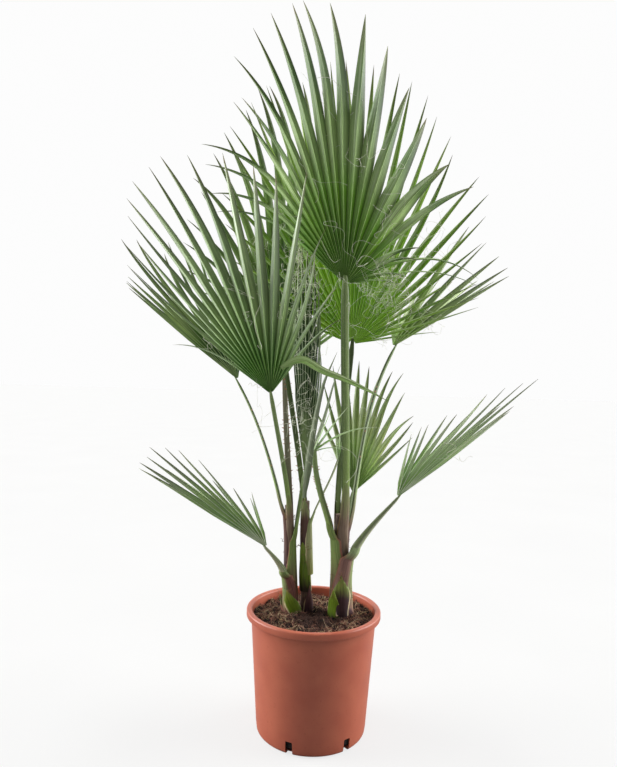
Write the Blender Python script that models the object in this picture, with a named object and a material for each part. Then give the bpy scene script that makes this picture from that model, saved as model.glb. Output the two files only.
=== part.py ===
"""Mexican fan palm: a clump of three slender stems with thirteen fan fronds in a round nursery pot.

Metres, +Z up. The origin is the centre of the pot's flat underside, -Y is the front of the plant.
Each frond is a leaf stalk, called the petiole, and a pleated blade that fans out from its hub.
"""
import math
from collections import namedtuple

import bmesh
import bpy
import numpy as np

UP = np.array([0, 0, 1])

# Gap kept between two pieces that touch
GAP = 0.0003

# Pot
RIM_RADIUS = 0.120
NECK_RADIUS = 0.1116
BASE_RADIUS = 0.0971
POT_HEIGHT = 0.2135
LIP_HEIGHT = 0.0115
LIP_ROUND = 0.0015
WALL = 0.0022
FLOOR_HEIGHT = 0.005
FOOT_FILLET = 0.006
SLOT_COUNT = 6
SLOT_WIDTH = 0.012
SLOT_HEIGHT = 0.021
SLOT_DEPTH = 0.011
FIRST_SLOT_BEARING = -112.0
WALL_RING = 0.028
POT_SIDES = 60

# Compost
SOIL_HEIGHT = 0.1905
SOIL_EDGE_DROP = 0.004
SOIL_FLAT_RADIUS = 0.088

# Stems, from the compost to the fork; the swelling at the foot runs through these heights and shares
STEM_SIDES = 12
FLARE_RISE = (0, 0.012, 0.030)
FLARE_SHARE = (0.15, 0.05, 0)
STEM_FOOT = SOIL_HEIGHT + GAP

Stem = namedtuple("Stem", "foot top foot_radius top_radius")
STEMS = {
    "stem_left": Stem((-0.041, 0.018), (-0.0505, 0.018, 0.392), 0.0115, 0.0070),
    "stem_middle": Stem((-0.0135, 0.026), (-0.0200, 0.022, 0.400), 0.0100, 0.0075),
    "stem_right": Stem((0.0490, 0.010), (0.0455, 0.010, 0.380), 0.0175, 0.0100),
}

# Stubs of cut leaf bases that clasp the stems: bearing and half angle in degrees, foot and top height,
# distance to the stem, and how far the top stands off
Boot = namedtuple("Boot", "name stem bearing half foot top inset splay")
BOOT_FOOT = 0.1912
BOOT_SHELL = 0.0045
BOOTS = (
    Boot("right_front", "stem_right", -92, 42, 0.205, 0.266, 0.0062, 0.001),
    Boot("right_foot", "stem_right", -60, 60, BOOT_FOOT, 0.238, 0.0010, 0.001),
    Boot("right_side", "stem_right", -165, 34, BOOT_FOOT, 0.240, GAP, 0.010),
    Boot("left_front", "stem_left", -80, 56, BOOT_FOOT, 0.252, 0.0008, 0.004),
    Boot("left_side", "stem_left", 175, 34, BOOT_FOOT, 0.228, GAP, 0.006),
    Boot("middle_front", "stem_middle", -60, 50, BOOT_FOOT, 0.248, GAP, 0.001),
)

# Petioles: thickness as a share of the width
PETIOLE_THICKNESS = 0.62
PETIOLE_SIDES = 8
PETIOLE_RINGS = 9

# Blades: radius of the hub as a share of the petiole's width there, thickness and pleat depth as shares of
# the length, less cleft at the margins, and the width of a free tip at a share of its length
HUB_SHARE = 1.35
BLADE_THICKNESS = 0.0102
FOLD = 0.13
MARGIN_CLEFT = 0.4
TIP_SHARE = 0.45
TIP_WIDTH = 0.52
RAY_STEPS = 16

# stem, seat, bearing: where the petiole leaves its stem; width: petiole at its foot and at the hub
# hub, axis, face: where the segments meet, the way the middle one points and the way the upper side looks
# spread: degrees left and right of the axis; count: segments; reach: their lengths from left to right
# cup: degrees that the margins fold up; sag: bend under gravity at the middle, left and right
# split: share of a segment's length at which it comes free of its neighbours
# The strap is a long bent segment that hangs across the front; it starts on the blade of front_left
Frond = namedtuple("Frond", "name stem seat bearing width hub axis face spread count reach cup sag split")
FRONDS = (
    Frond(name="front_high", stem="stem_right", seat=0.362, bearing=-95, width=(0.0165, 0.013),
          hub=(0.0361, -0.070, 0.7859), axis=(0, -0.14, 1), face=(0, 1, 0.1), spread=(50, 84), count=18,
          reach=(0.28, 0.36, 0.43, 0.455, 0.42, 0.335, 0.285, 0.28, 0.27, 0.28, 0.18),
          cup=(10, 20), sag=(0.05, 0.3, 0.5), split=0.58),
    Frond(name="front_left", stem="stem_left", seat=0.372, bearing=-75, width=(0.010, 0.007),
          hub=(-0.0817, -0.100, 0.5973), axis=(-0.20, -0.18, 1), face=(0.25, 1, 0.1), spread=(42, 46),
          count=14, reach=(0.36, 0.41, 0.42, 0.39, 0.36, 0.33, 0.20, 0.14),
          cup=(12, 20), sag=(0.03, 0.2, 0.3), split=0.55),
    Frond(name="back_left", stem="stem_left", seat=0.374, bearing=170, width=(0.010, 0.007),
          hub=(-0.1619, 0.120, 0.6212), axis=(-0.79, 0, 0.62), face=(0.6, 0.12, 0.78), spread=(60, 40),
          count=16, reach=(0.20, 0.27, 0.33, 0.33, 0.30), cup=(35, 30), sag=(0.02, 0.1, 0.1), split=0.52),
    Frond(name="right", stem="stem_right", seat=0.350, bearing=15, width=(0.012, 0.008),
          hub=(0.1522, 0.165, 0.6989), axis=(0.84, 0.08, 0.54), face=(-0.54, 0.12, 0.84), spread=(60, 26),
          count=15, reach=(0.22, 0.32, 0.29, 0.29, 0.28), cup=(35, 30), sag=(0.02, 0.1, 0.1), split=0.52),
    Frond(name="back_right", stem="stem_right", seat=0.358, bearing=120, width=(0.013, 0.010),
          hub=(0.0585, 0.040, 0.6923), axis=(0.12, 0.07, 1), face=(0, -1, 0.3), spread=(80, 76), count=22,
          reach=(0.16, 0.24, 0.36, 0.50, 0.565, 0.45, 0.34, 0.24, 0.12),
          cup=(5, 12), sag=(0.05, 0.3, 0.3), split=0.58),
    Frond(name="young_spear", stem="stem_middle", seat=0.401, bearing=0, width=(0.012, 0.010),
          hub=(-0.0222, 0.030, 0.4411), axis=(0.03, -0.10, 1), face=(0.3, 1, 0), spread=(6.5, 6.5), count=5,
          reach=(0.36, 0.42, 0.44, 0.42, 0.36), cup=(2, 2), sag=(0, 0.05, 0.05), split=0.75),
    Frond(name="low_left", stem="stem_left", seat=0.245, bearing=-150, width=(0.016, 0.006),
          hub=(-0.0847, -0.040, 0.3302), axis=(-0.86, -0.05, 0.52), face=(0.5, 0.2, 0.85), spread=(50, 40),
          count=13, reach=(0.125, 0.20, 0.275, 0.262, 0.263, 0.245, 0.14),
          cup=(35, 35), sag=(0.02, 0.1, 0.1), split=0.50),
    Frond(name="low_right", stem="stem_right", seat=0.262, bearing=-22, width=(0.024, 0.006),
          hub=(0.1386, -0.040, 0.4234), axis=(0.77, -0.05, 0.63), face=(-0.6, 0.2, 0.75), spread=(52, 32),
          count=14, reach=(0.12, 0.165, 0.27, 0.315, 0.30, 0.22),
          cup=(35, 35), sag=(0.02, 0.1, 0.1), split=0.55),
    Frond(name="inner_right", stem="stem_right", seat=0.345, bearing=68, width=(0.011, 0.007),
          hub=(0.0744, 0.120, 0.3998), axis=(0.25, 0.28, 1), face=(-0.2, -1, 0.3), spread=(40, 40), count=13,
          reach=(0.14, 0.22, 0.255, 0.205, 0.14), cup=(10, 10), sag=(0.05, 0.2, 0.2), split=0.55),
    Frond(name="small", stem="stem_middle", seat=0.360, bearing=-25, width=(0.006, 0.004),
          hub=(0.0370, 0.012, 0.4765), axis=(0.05, 0.02, 1), face=(-0.3, 1, 0), spread=(14, 14), count=3,
          reach=(0.05, 0.055, 0.05), cup=(5, 5), sag=(0, 0.05, 0.05), split=0.5),
    Frond(name="inner_left", stem="stem_right", seat=0.315, bearing=178, width=(0.014, 0.007),
          hub=(-0.0097, -0.055, 0.4991), axis=(0.60, -0.03, 1), face=(-0.2, 1, 0.2), spread=(30, 34), count=5,
          reach=(0.24, 0.18, 0.13, 0.13, 0.16), cup=(5, 5), sag=(0.02, 0.1, 0.3), split=0.3),
    Frond(name="back_high", stem="stem_middle", seat=0.380, bearing=100, width=(0.011, 0.009),
          hub=(-0.0767, 0.085, 0.7069), axis=(-0.20, 0.17, 1), face=(0, -1, 0.2), spread=(50, 30), count=14,
          reach=(0.22, 0.28, 0.345, 0.405, 0.51, 0.53, 0.42), cup=(10, 5), sag=(0.05, 0.3, 0.2), split=0.55),
    Frond(name="back", stem="stem_left", seat=0.376, bearing=80, width=(0.012, 0.010),
          hub=(-0.0699, 0.130, 0.6376), axis=(0.05, 0.85, 1), face=(0.1, -1, 0.8), spread=(52, 48), count=16,
          reach=(0.24, 0.30, 0.32, 0.30, 0.24), cup=(15, 15), sag=(0.05, 0.3, 0.3), split=0.55),
    Frond(name="front_left_strap", stem=None, seat=None, bearing=None, width=(0.012, 0.012),
          hub=(-0.0657, -0.1060, 0.6448), axis=(0.98, 0.10, 0.20), face=(0, -1, 0), spread=(9, 9), count=1,
          reach=(0.17, 0.17, 0.17), cup=(0, 0), sag=(1.3, 1.3, 1.3), split=0.3),
)


def unit(vectors):
    """Vectors scaled to length one along their last axis."""
    vectors = np.asarray(vectors, float)
    return vectors / np.linalg.norm(vectors, axis=-1, keepdims=True)


def mix(first, second, share):
    """Value a share of the way from the first to the second."""
    return first + (second - first) * share


def linear(hex_code):
    """Linear colour of an sRGB hex code."""
    channels = [int(hex_code[i:i + 2], 16) / 255 for i in (0, 2, 4)]
    return [c / 12.92 if c <= 0.04045 else ((c + 0.055) / 1.055) ** 2.4 for c in channels]


def paint(obj, hex_code, roughness):
    """Give the object a material of its own."""
    material = bpy.data.materials.new(obj.name + "_finish")
    material.use_nodes = True
    shader = material.node_tree.nodes["Principled BSDF"]
    shader.inputs["Base Color"].default_value = (*linear(hex_code), 1)
    shader.inputs["Roughness"].default_value = roughness
    shader.inputs["Metallic"].default_value = 0
    obj.data.materials.append(material)
    return obj


def solid(name, points, faces, smooth_angle=35):
    """One closed mesh object with its faces pointing out."""
    mesh = bpy.data.meshes.new(name)
    mesh.from_pydata([tuple(p) for p in points], [], faces)
    bm = bmesh.new()
    bm.from_mesh(mesh)
    bmesh.ops.recalc_face_normals(bm, faces=bm.faces)
    bm.to_mesh(mesh)
    bm.free()
    mesh.shade_smooth()
    mesh.set_sharp_from_angle(angle=math.radians(smooth_angle))
    obj = bpy.data.objects.new(name, mesh)
    bpy.context.scene.collection.objects.link(obj)
    return obj


def loft(name, rings):
    """Solid through a row of rings with equal counts of points, closed by a flat face at each end."""
    count = len(rings[0])
    points = np.concatenate(rings)
    faces = [tuple(range(count)), tuple(range(len(points) - count, len(points)))]
    for row in range(len(rings) - 1):
        for i in range(count):
            j = (i + 1) % count
            faces.append((row * count + i, row * count + j, (row + 1) * count + j, (row + 1) * count + i))
    return solid(name, points, faces)


def turned(name, profile, sides):
    """Solid of revolution; the profile runs from the axis outwards and back to the axis."""
    angles = np.arange(sides) * 2 * math.pi / sides
    points = [(0, 0, profile[0][1])]
    for radius, height in profile[1:-1]:
        points += [(radius * math.cos(a), radius * math.sin(a), height) for a in angles]
    points.append((0, 0, profile[-1][1]))
    last = len(points) - 1
    rings = len(profile) - 2
    faces = []
    for i in range(sides):
        j = (i + 1) % sides
        faces.append((0, 1 + j, 1 + i))
        for ring in range(rings - 1):
            low = 1 + ring * sides
            high = low + sides
            faces.append((low + i, low + j, high + j, high + i))
        faces.append((last, last - sides + i, last - sides + j))
    return solid(name, points, faces)


def wall_radius(height):
    """Outer radius of the pot's tapering wall at a height."""
    return mix(BASE_RADIUS, NECK_RADIUS, height / (POT_HEIGHT - LIP_HEIGHT))


def make_pot():
    """Thin tapering shell with a turned-down lip and slots round its foot."""
    fillet = [(wall_radius(0) - FOOT_FILLET * (1 - math.sin(a)), FOOT_FILLET * (1 - math.cos(a)))
              for a in np.radians((0, 30, 60, 90))]
    lip_foot = POT_HEIGHT - LIP_HEIGHT
    mouth = NECK_RADIUS - WALL
    profile = [
        (0, 0), *fillet,
        (wall_radius(WALL_RING), WALL_RING),
        (NECK_RADIUS, POT_HEIGHT - WALL),
        (RIM_RADIUS - WALL, POT_HEIGHT - WALL),
        (RIM_RADIUS - WALL, lip_foot),
        (RIM_RADIUS, lip_foot),
        (RIM_RADIUS, POT_HEIGHT - LIP_ROUND),
        (RIM_RADIUS - LIP_ROUND, POT_HEIGHT),
        (mouth + WALL, POT_HEIGHT),
        (mouth, POT_HEIGHT - 2 * WALL),
        (wall_radius(WALL_RING) - WALL, WALL_RING),
        (wall_radius(FLOOR_HEIGHT) - WALL, FLOOR_HEIGHT),
        (0, FLOOR_HEIGHT),
    ]
    pot = turned("pot", profile, POT_SIDES)
    for slot in range(SLOT_COUNT):
        cutter = slot_cutter(f"slot_cutter_{slot + 1}", FIRST_SLOT_BEARING + slot * 360 / SLOT_COUNT)
        cut = pot.modifiers.new(cutter.name, "BOOLEAN")
        cut.object = cutter
        cut.operation = "DIFFERENCE"
        cut.solver = "EXACT"
    return paint(pot, "B45F47", 0.38)


def slot_cutter(name, bearing):
    """Upright block with a round head, set through the foot of the wall."""
    half = SLOT_WIDTH / 2
    foot = -half
    head = SLOT_HEIGHT - half
    arch = [(half * math.cos(a), head + half * math.sin(a)) for a in np.radians(range(0, 181, 45))]
    outline = [(half, foot), *arch, (-half, foot)]
    out = np.array([math.cos(math.radians(bearing)), math.sin(math.radians(bearing)), 0])
    across = np.cross(UP, out)
    rings = [[out * distance + across * x + UP * z for x, z in outline]
             for distance in (BASE_RADIUS - SLOT_DEPTH, BASE_RADIUS + SLOT_DEPTH)]
    cutter = loft(name, rings)
    cutter.hide_render = True
    cutter.display_type = "WIRE"
    return cutter


def make_soil():
    """Root ball and compost that fill the pot."""
    foot = FLOOR_HEIGHT + GAP
    edge = SOIL_HEIGHT - SOIL_EDGE_DROP
    clearance = WALL + 2 * GAP
    profile = [
        (0, foot),
        (wall_radius(foot) - clearance, foot),
        (wall_radius(WALL_RING) - clearance, WALL_RING),
        (wall_radius(edge) - clearance - WALL, edge),
        (SOIL_FLAT_RADIUS, SOIL_HEIGHT),
        (0, SOIL_HEIGHT),
    ]
    return paint(turned("soil", profile, POT_SIDES), "4A3A2C", 0.95)


def stem_at(stem, height):
    """Centre and radius of a stem at a height; the radius swells towards the compost."""
    share = (height - STEM_FOOT) / (stem.top[2] - STEM_FOOT)
    centre = np.array([mix(stem.foot[0], stem.top[0], share), mix(stem.foot[1], stem.top[1], share), height])
    swell = np.interp(height - STEM_FOOT, FLARE_RISE, FLARE_SHARE)
    return centre, mix(stem.foot_radius, stem.top_radius, share) * (1 + swell)


def make_stem(name, stem):
    """Tapering stem with a swollen foot, cut flat at the compost and at the fork."""
    angles = np.arange(STEM_SIDES) * 2 * math.pi / STEM_SIDES
    circle = np.stack([np.cos(angles), np.sin(angles), np.zeros(STEM_SIDES)], 1)
    heights = [STEM_FOOT + rise for rise in FLARE_RISE] + [stem.top[2]]
    rings = []
    for height in heights:
        centre, radius = stem_at(stem, height)
        rings.append(centre + radius * circle)
    return paint(loft(name, rings), "5E4640", 0.75)


def make_boot(boot):
    """Stub of a cut leaf base: a curved scale that narrows and thins towards its top."""
    stem = STEMS[boot.stem]
    edge = np.array([0.35, 0.8, 1, 1, 1, 0.8, 0.35])
    flare_rows = [STEM_FOOT + rise for rise in FLARE_RISE if boot.foot < STEM_FOOT + rise < boot.top]
    rings = []
    for height in sorted([*flare_rows, *np.linspace(boot.foot, boot.top, 4)]):
        share = (height - boot.foot) / (boot.top - boot.foot)
        centre, radius = stem_at(stem, height)
        half = math.radians(boot.half) * (1 - 0.55 * share ** 2)
        bearings = math.radians(boot.bearing) + np.linspace(-half, half, len(edge))
        inner = radius / math.cos(half / (len(edge) - 1)) + boot.inset + boot.splay * share ** 1.5
        outer = inner + edge * BOOT_SHELL * (1 - 0.45 * share)
        radii = [*outer, *[inner] * len(edge)]
        ways = [*bearings, *reversed(bearings)]
        rings.append(np.array([centre + [r * math.cos(b), r * math.sin(b), 0] for r, b in zip(radii, ways)]))
    return paint(loft("boot_" + boot.name, rings), "6B5A3A", 0.8)


def blade_frame(frond):
    """Axis, side and face of the blade; side is the one that points to +X."""
    axis = unit(frond.axis)
    face = unit(frond.face - (np.array(frond.face) @ axis) * axis)
    side = np.cross(axis, face)
    return axis, side * np.sign(side[0]), face


def hub_radius(frond):
    """Distance from the hub point at which the segments start, in step with the petiole's width."""
    return HUB_SHARE * frond.width[1]


def bezier(corners, t):
    """Points of a cubic curve at the values of t."""
    a, b, c, d = corners
    t = t[:, None]
    return (1 - t) ** 3 * a + 3 * (1 - t) ** 2 * t * b + 3 * (1 - t) * t ** 2 * c + t ** 3 * d


def petiole_ring(wide, tangent, width):
    """Points of an oval cross-section round its centre."""
    wide = unit(wide - (wide @ tangent) * tangent)
    thick = np.cross(tangent, wide) * PETIOLE_THICKNESS
    turns = np.arange(PETIOLE_SIDES) * 2 * math.pi / PETIOLE_SIDES
    return (np.outer(np.cos(turns), wide) + np.outer(np.sin(turns), thick)) * width / 2


def petiole_seat(frond):
    """Foot of the petiole on its stem, the way it leaves and the way its width runs there.

    With R the stem's radius and the gap, and a and b a corner's offsets outwards and sideways, the foot's
    distance s from the stem's centre is the greatest of s = -a + sqrt(R^2 - b^2)
    """
    stem = STEMS[frond.stem]
    bearing = math.radians(frond.bearing)
    out = np.array([math.cos(bearing), math.sin(bearing), 0])
    across = np.cross(UP, out)
    up = unit(np.array(stem.top) - [*stem.foot, SOIL_HEIGHT])
    if frond.seat > stem.top[2]:
        return stem.top + UP * GAP, up, across
    centre, radius = stem_at(stem, frond.seat)
    leave = unit(unit(up + 0.12 * out) + 0.8 * unit(frond.hub - centre - out * radius))
    corners = petiole_ring(across, leave, frond.width[0])
    distance = np.max(-corners @ out + np.sqrt((radius + GAP) ** 2 - (corners @ across) ** 2))
    return centre + out * distance, leave, across


def petiole_end(frond, arrive):
    """End of the petiole, as far inside the round of the segments' roots as its own corners allow.

    With R the radius of that round and o a corner's offset, the distance x along the axis is the least of
    x = -(axis . o) + sqrt((axis . o)^2 - o^2 + R^2). Beside a narrow blade the corners are free, so there
    they count as if they lay at its edge.
    """
    axis, side, _ = blade_frame(frond)
    clear = hub_radius(frond) - GAP
    edge = clear * math.sin(math.radians(min(90, max(frond.spread))))
    offsets = petiole_ring(side, arrive, frond.width[1])
    beyond = offsets @ side - np.clip(offsets @ side, -edge, edge)
    offsets = offsets - np.outer(beyond, side)
    lean = offsets @ axis
    return frond.hub + axis * np.min(-lean + np.sqrt(lean ** 2 - (offsets ** 2).sum(1) + clear ** 2))


def make_petiole(frond):
    """Leaf stalk: a tapering limb, wider than it is thick, from its stem to the blade's hub."""
    start, leave, across = petiole_seat(frond)
    axis, side, _ = blade_frame(frond)
    arrive = unit(0.6 * axis + unit(frond.hub - start))
    end = petiole_end(frond, arrive)
    length = np.linalg.norm(end - start)
    corners = (start, start + leave * length * 0.25, end - arrive * length * 0.35, end)
    shares = np.linspace(0, 1, PETIOLE_RINGS)
    centres = bezier(corners, shares)
    tangents = unit(np.gradient(centres, axis=0))
    tangents[0] = leave
    tangents[-1] = arrive
    across = across * np.sign(across @ side)
    rings = [centre + petiole_ring(mix(across, side, share), tangent, mix(*frond.width, share ** 0.7))
             for share, centre, tangent in zip(shares, centres, tangents)]
    return paint(loft("petiole_" + frond.name, rings), "6E8B52", 0.45)


def reach_at(frond, angles):
    """Length of a segment at a fan angle, between the frond's own values."""
    marks = np.linspace(-frond.spread[0], frond.spread[1], len(frond.reach))
    return np.interp(angles, marks, frond.reach)


def rays(frond, angles):
    """Centre lines at fan angles in degrees, hub to tip, as (angle, step, xyz).

    start = cos(cup) * (cos(angle) * axis + sin(angle) * side) + sin(cup) * face
    direction at t = unit(start - sag * t^2 * up)
    """
    axis, side, face = blade_frame(frond)
    right = angles >= 0
    ease = (np.abs(angles) / np.where(right, frond.spread[1], frond.spread[0])) ** 1.5
    cup = np.radians(np.where(right, frond.cup[1], frond.cup[0])) * ease
    sag = mix(frond.sag[0], np.where(right, frond.sag[2], frond.sag[1]), ease)
    turn = np.radians(angles)
    flat = np.outer(np.cos(turn), axis) + np.outer(np.sin(turn), side)
    start = np.cos(cup)[:, None] * flat + np.outer(np.sin(cup), face)
    t = (np.arange(RAY_STEPS) + 0.5) / RAY_STEPS
    direction = unit(start[:, None, :] - np.outer(sag, t ** 2)[..., None] * UP)
    run = np.cumsum(direction, axis=1) * (reach_at(frond, angles) / RAY_STEPS)[:, None, None]
    return frond.hub + np.concatenate([np.zeros((len(angles), 1, 3)), run], axis=1)


def surface_normals(lines, face):
    """Normal of the fan at each point of its rays, on the side that the face looks to."""
    normals = unit(np.cross(np.gradient(lines[:, 1:], axis=0), np.gradient(lines[:, 1:], axis=1)))
    normals = np.concatenate([normals[:, :1], normals], axis=1)
    middle = len(lines) // 2
    return normals * np.sign(normals[middle, 1] @ face)


def along(row, share):
    """Point of a row at a share of its length."""
    place = min(max(share, 0), 1) * (len(row) - 1)
    low = min(int(place), len(row) - 2)
    return mix(row[low], row[low + 1], place - low)


class Sheet:
    """Thin closed plate, gathered from pairs of points on its upper and lower side."""

    def __init__(self, thickness):
        self.thickness = thickness
        self.points = []
        self.faces = []

    def pair(self, place, normal):
        """Add an upper and a lower point; returns the upper one's number."""
        half = normal * self.thickness / 2
        self.points.extend([place + half, place - half])
        return len(self.points) - 2

    def patch(self, *corners):
        """Add a face on each side."""
        self.faces.append(corners)
        self.faces.append(tuple(c + 1 for c in reversed(corners)))

    def rim(self, a, b):
        """Close the edge between two pairs."""
        self.faces.append((a, b, b + 1, a + 1))

    def spike(self, left, middle, right, tip):
        """Bring three pairs to one point."""
        self.points.append(tip)
        end = len(self.points) - 1
        for a, b in ((left, middle), (middle, right)):
            self.faces.extend([(a, b, end), (a + 1, end, b + 1)])
        self.faces.extend([(left, end, left + 1), (right, right + 1, end)])


def make_blade(frond):
    """Thin pleated fan whose outline is cut in between the segments.

    Even columns are the lines where two segments meet, odd ones the midribs, which lie lower.
    """
    columns = 2 * frond.count + 1
    angles = np.linspace(-frond.spread[0], frond.spread[1], columns)
    step = math.radians(angles[2] - angles[0])
    lines = rays(frond, angles)
    lengths = reach_at(frond, angles)
    normals = surface_normals(lines, blade_frame(frond)[2])
    sheet = Sheet(BLADE_THICKNESS * max(frond.reach))
    split = frond.split * (1 - MARGIN_CLEFT * np.linspace(-1, 1, columns) ** 2)
    shorter = [min(lengths[max(k - 1, 0)], lengths[min(k + 1, columns - 1)]) for k in range(columns)]
    free = split * shorter

    def on_line(k, radius):
        share = radius / lengths[k]
        normal = along(normals[k], share)
        lift = FOLD * step * radius * (-1) ** k
        return sheet.pair(along(lines[k], share) + normal * lift, normal)

    root = [on_line(k, hub_radius(frond)) for k in range(columns)]
    cleft = [on_line(k, free[k]) for k in range(columns)]
    for k in range(columns - 1):
        sheet.patch(root[k], root[k + 1], cleft[k + 1], cleft[k])
        sheet.rim(root[k], root[k + 1])
    sheet.rim(root[0], cleft[0])
    sheet.rim(root[-1], cleft[-1])
    for k in range(1, columns, 2):
        share = mix(free[k], lengths[k], TIP_SHARE) / lengths[k]
        normal = along(normals[k], share)
        centre = along(lines[k], share)
        forward = unit(along(lines[k], share + 0.05) - along(lines[k], share - 0.05))
        half = np.cross(normal, forward) * free[k] * step / 2 * TIP_WIDTH
        half = half * np.sign(half @ (sheet.points[cleft[k + 1]] - sheet.points[cleft[k - 1]]))
        rise = normal * FOLD * step * free[k] * TIP_WIDTH
        left = sheet.pair(centre - half + rise, normal)
        middle = sheet.pair(centre - rise, normal)
        right = sheet.pair(centre + half + rise, normal)
        sheet.patch(cleft[k - 1], cleft[k], middle, left)
        sheet.patch(cleft[k], cleft[k + 1], right, middle)
        sheet.rim(cleft[k - 1], left)
        sheet.rim(cleft[k + 1], right)
        sheet.spike(left, middle, right, lines[k, -1])
    return paint(solid("frond_" + frond.name, sheet.points, sheet.faces, 15), "4F7A34", 0.5)


def main():
    for obj in list(bpy.data.objects):
        bpy.data.objects.remove(obj, do_unlink=True)
    make_pot()
    make_soil()
    for name, stem in STEMS.items():
        make_stem(name, stem)
    for boot in BOOTS:
        make_boot(boot)
    for frond in FRONDS:
        if frond.stem:
            make_petiole(frond)
        make_blade(frond)


main()
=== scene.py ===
# %% [markdown]
# # A fan palm with three stems in a nursery pot
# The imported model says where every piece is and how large. This script dresses it: each plain solid
# gives way to a piece with the real one's surface, in the same place. Every cell makes one kind of
# piece or finish and prints what it made, so the cells can be run and looked at one by one.

# %% Load the fixed frame
import itertools
import math
from collections import namedtuple

import bmesh
import bpy
import numpy as np
from mathutils import Matrix


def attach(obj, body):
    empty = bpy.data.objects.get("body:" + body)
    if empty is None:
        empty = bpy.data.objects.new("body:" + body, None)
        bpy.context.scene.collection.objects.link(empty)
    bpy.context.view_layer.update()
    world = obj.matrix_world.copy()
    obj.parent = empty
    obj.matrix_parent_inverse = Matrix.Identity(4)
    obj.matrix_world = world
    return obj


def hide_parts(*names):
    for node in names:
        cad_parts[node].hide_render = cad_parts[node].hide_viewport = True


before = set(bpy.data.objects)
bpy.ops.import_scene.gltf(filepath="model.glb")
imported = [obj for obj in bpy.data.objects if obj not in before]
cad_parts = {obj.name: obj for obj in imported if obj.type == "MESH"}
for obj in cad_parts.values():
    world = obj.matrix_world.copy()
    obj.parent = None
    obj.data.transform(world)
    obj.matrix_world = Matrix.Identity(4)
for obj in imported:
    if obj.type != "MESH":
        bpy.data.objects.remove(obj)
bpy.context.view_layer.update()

UP = np.array([0.0, 0.0, 1.0])
MM = 0.001
print("nodes in the frame:", len(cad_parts))

# %% [markdown]
# ## Small tools for shapes
# Nearly every piece here is a row of rings: a leaf segment, a stalk, a thread and a pot are all an
# outline carried along a line. Blender could build each with curves and modifiers. Working them out
# as numpy arrays keeps one rule for all, and a thousand threads cost no more lines than one.

# %% Vectors and noise
NOISE_TABLE = np.random.default_rng(3).uniform(-1, 1, 4096)


def unit(vectors):
    """Vectors scaled to length one along their last axis."""
    vectors = np.asarray(vectors, float)
    return vectors / np.maximum(np.linalg.norm(vectors, axis=-1, keepdims=True), 1e-12)


def mix(first, second, share):
    """Value a share of the way from the first to the second."""
    return first + (second - first) * share


def smooth(low, high, value):
    """0 below low, 1 above high and 3t^2 - 2t^3 between them."""
    t = np.clip((value - low) / (high - low), 0, 1)
    return t * t * (3 - 2 * t)


def square_to(vectors, lines):
    """Unit vectors with the share along the lines taken out."""
    return unit(vectors - (vectors * lines).sum(-1, keepdims=True) * lines)


def level(bearings):
    """Level unit vectors at bearings in radians."""
    return np.stack([np.cos(bearings), np.sin(bearings), np.zeros_like(bearings)], -1)


def between(places, marks, points):
    """Points at places between marks, each coordinate worked out for itself."""
    return np.stack([np.interp(places, marks, points[:, k]) for k in range(3)], 1)


def rumple(points, size, seed=0):
    """Smooth noise from -1 to 1.

    Space is cut in cubes of the given size. Each corner has a random value, and a point takes the
    mean of its cube's eight corners, weighted by 3t^2 - 2t^3 of its place between them.
    """
    places = np.asarray(points, float) / size
    cell = np.floor(places).astype(int)
    part = places - cell
    part = part * part * (3 - 2 * part)
    total = np.zeros(places.shape[:-1])
    for corner in itertools.product((0, 1), repeat=3):
        weight = np.prod(np.where(corner, part, 1 - part), axis=-1)
        key = (cell + corner) @ np.array([7919, 104729, 1299709]) + seed * 613
        total += weight * NOISE_TABLE[key % len(NOISE_TABLE)]
    return total


print("noise at the origin:", round(float(rumple([[0, 0, 0]], 1)[0]), 3))

# %% Skin over rings, and pieces
SHARP = 35


def skin(rings):
    """Points and four-sided faces of closed bodies; rings are (body, row, point, xyz), points even.

    Point p of row r joins point p + 1 of row r + 1. Each end is closed by strips that run from point
    i to its partner on the other side of the ring.
    """
    bodies, rows, sides = rings.shape[:3]
    index = np.arange(bodies * rows * sides).reshape(bodies, rows, sides)
    after = np.roll(index, -1, axis=2)
    walls = np.stack([index[:, :-1], after[:, :-1], after[:, 1:], index[:, 1:]], -1)
    i = np.arange(sides // 2 - 1)
    strip = np.stack([i, i + 1, sides - 2 - i, sides - 1 - i], -1)
    ends = [index[:, 0][:, strip[:, ::-1]], index[:, -1][:, strip]]
    faces = np.concatenate([part.reshape(-1, 4) for part in (walls, *ends)])
    return rings.reshape(-1, 3), faces


def row_values(values, sides):
    """Value of each face of a skin, from one for each body and row of walls."""
    ends = [np.repeat(values[:, end], sides // 2 - 1) for end in (0, -1)]
    return np.concatenate([np.repeat(values.ravel(), sides), *ends])


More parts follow.
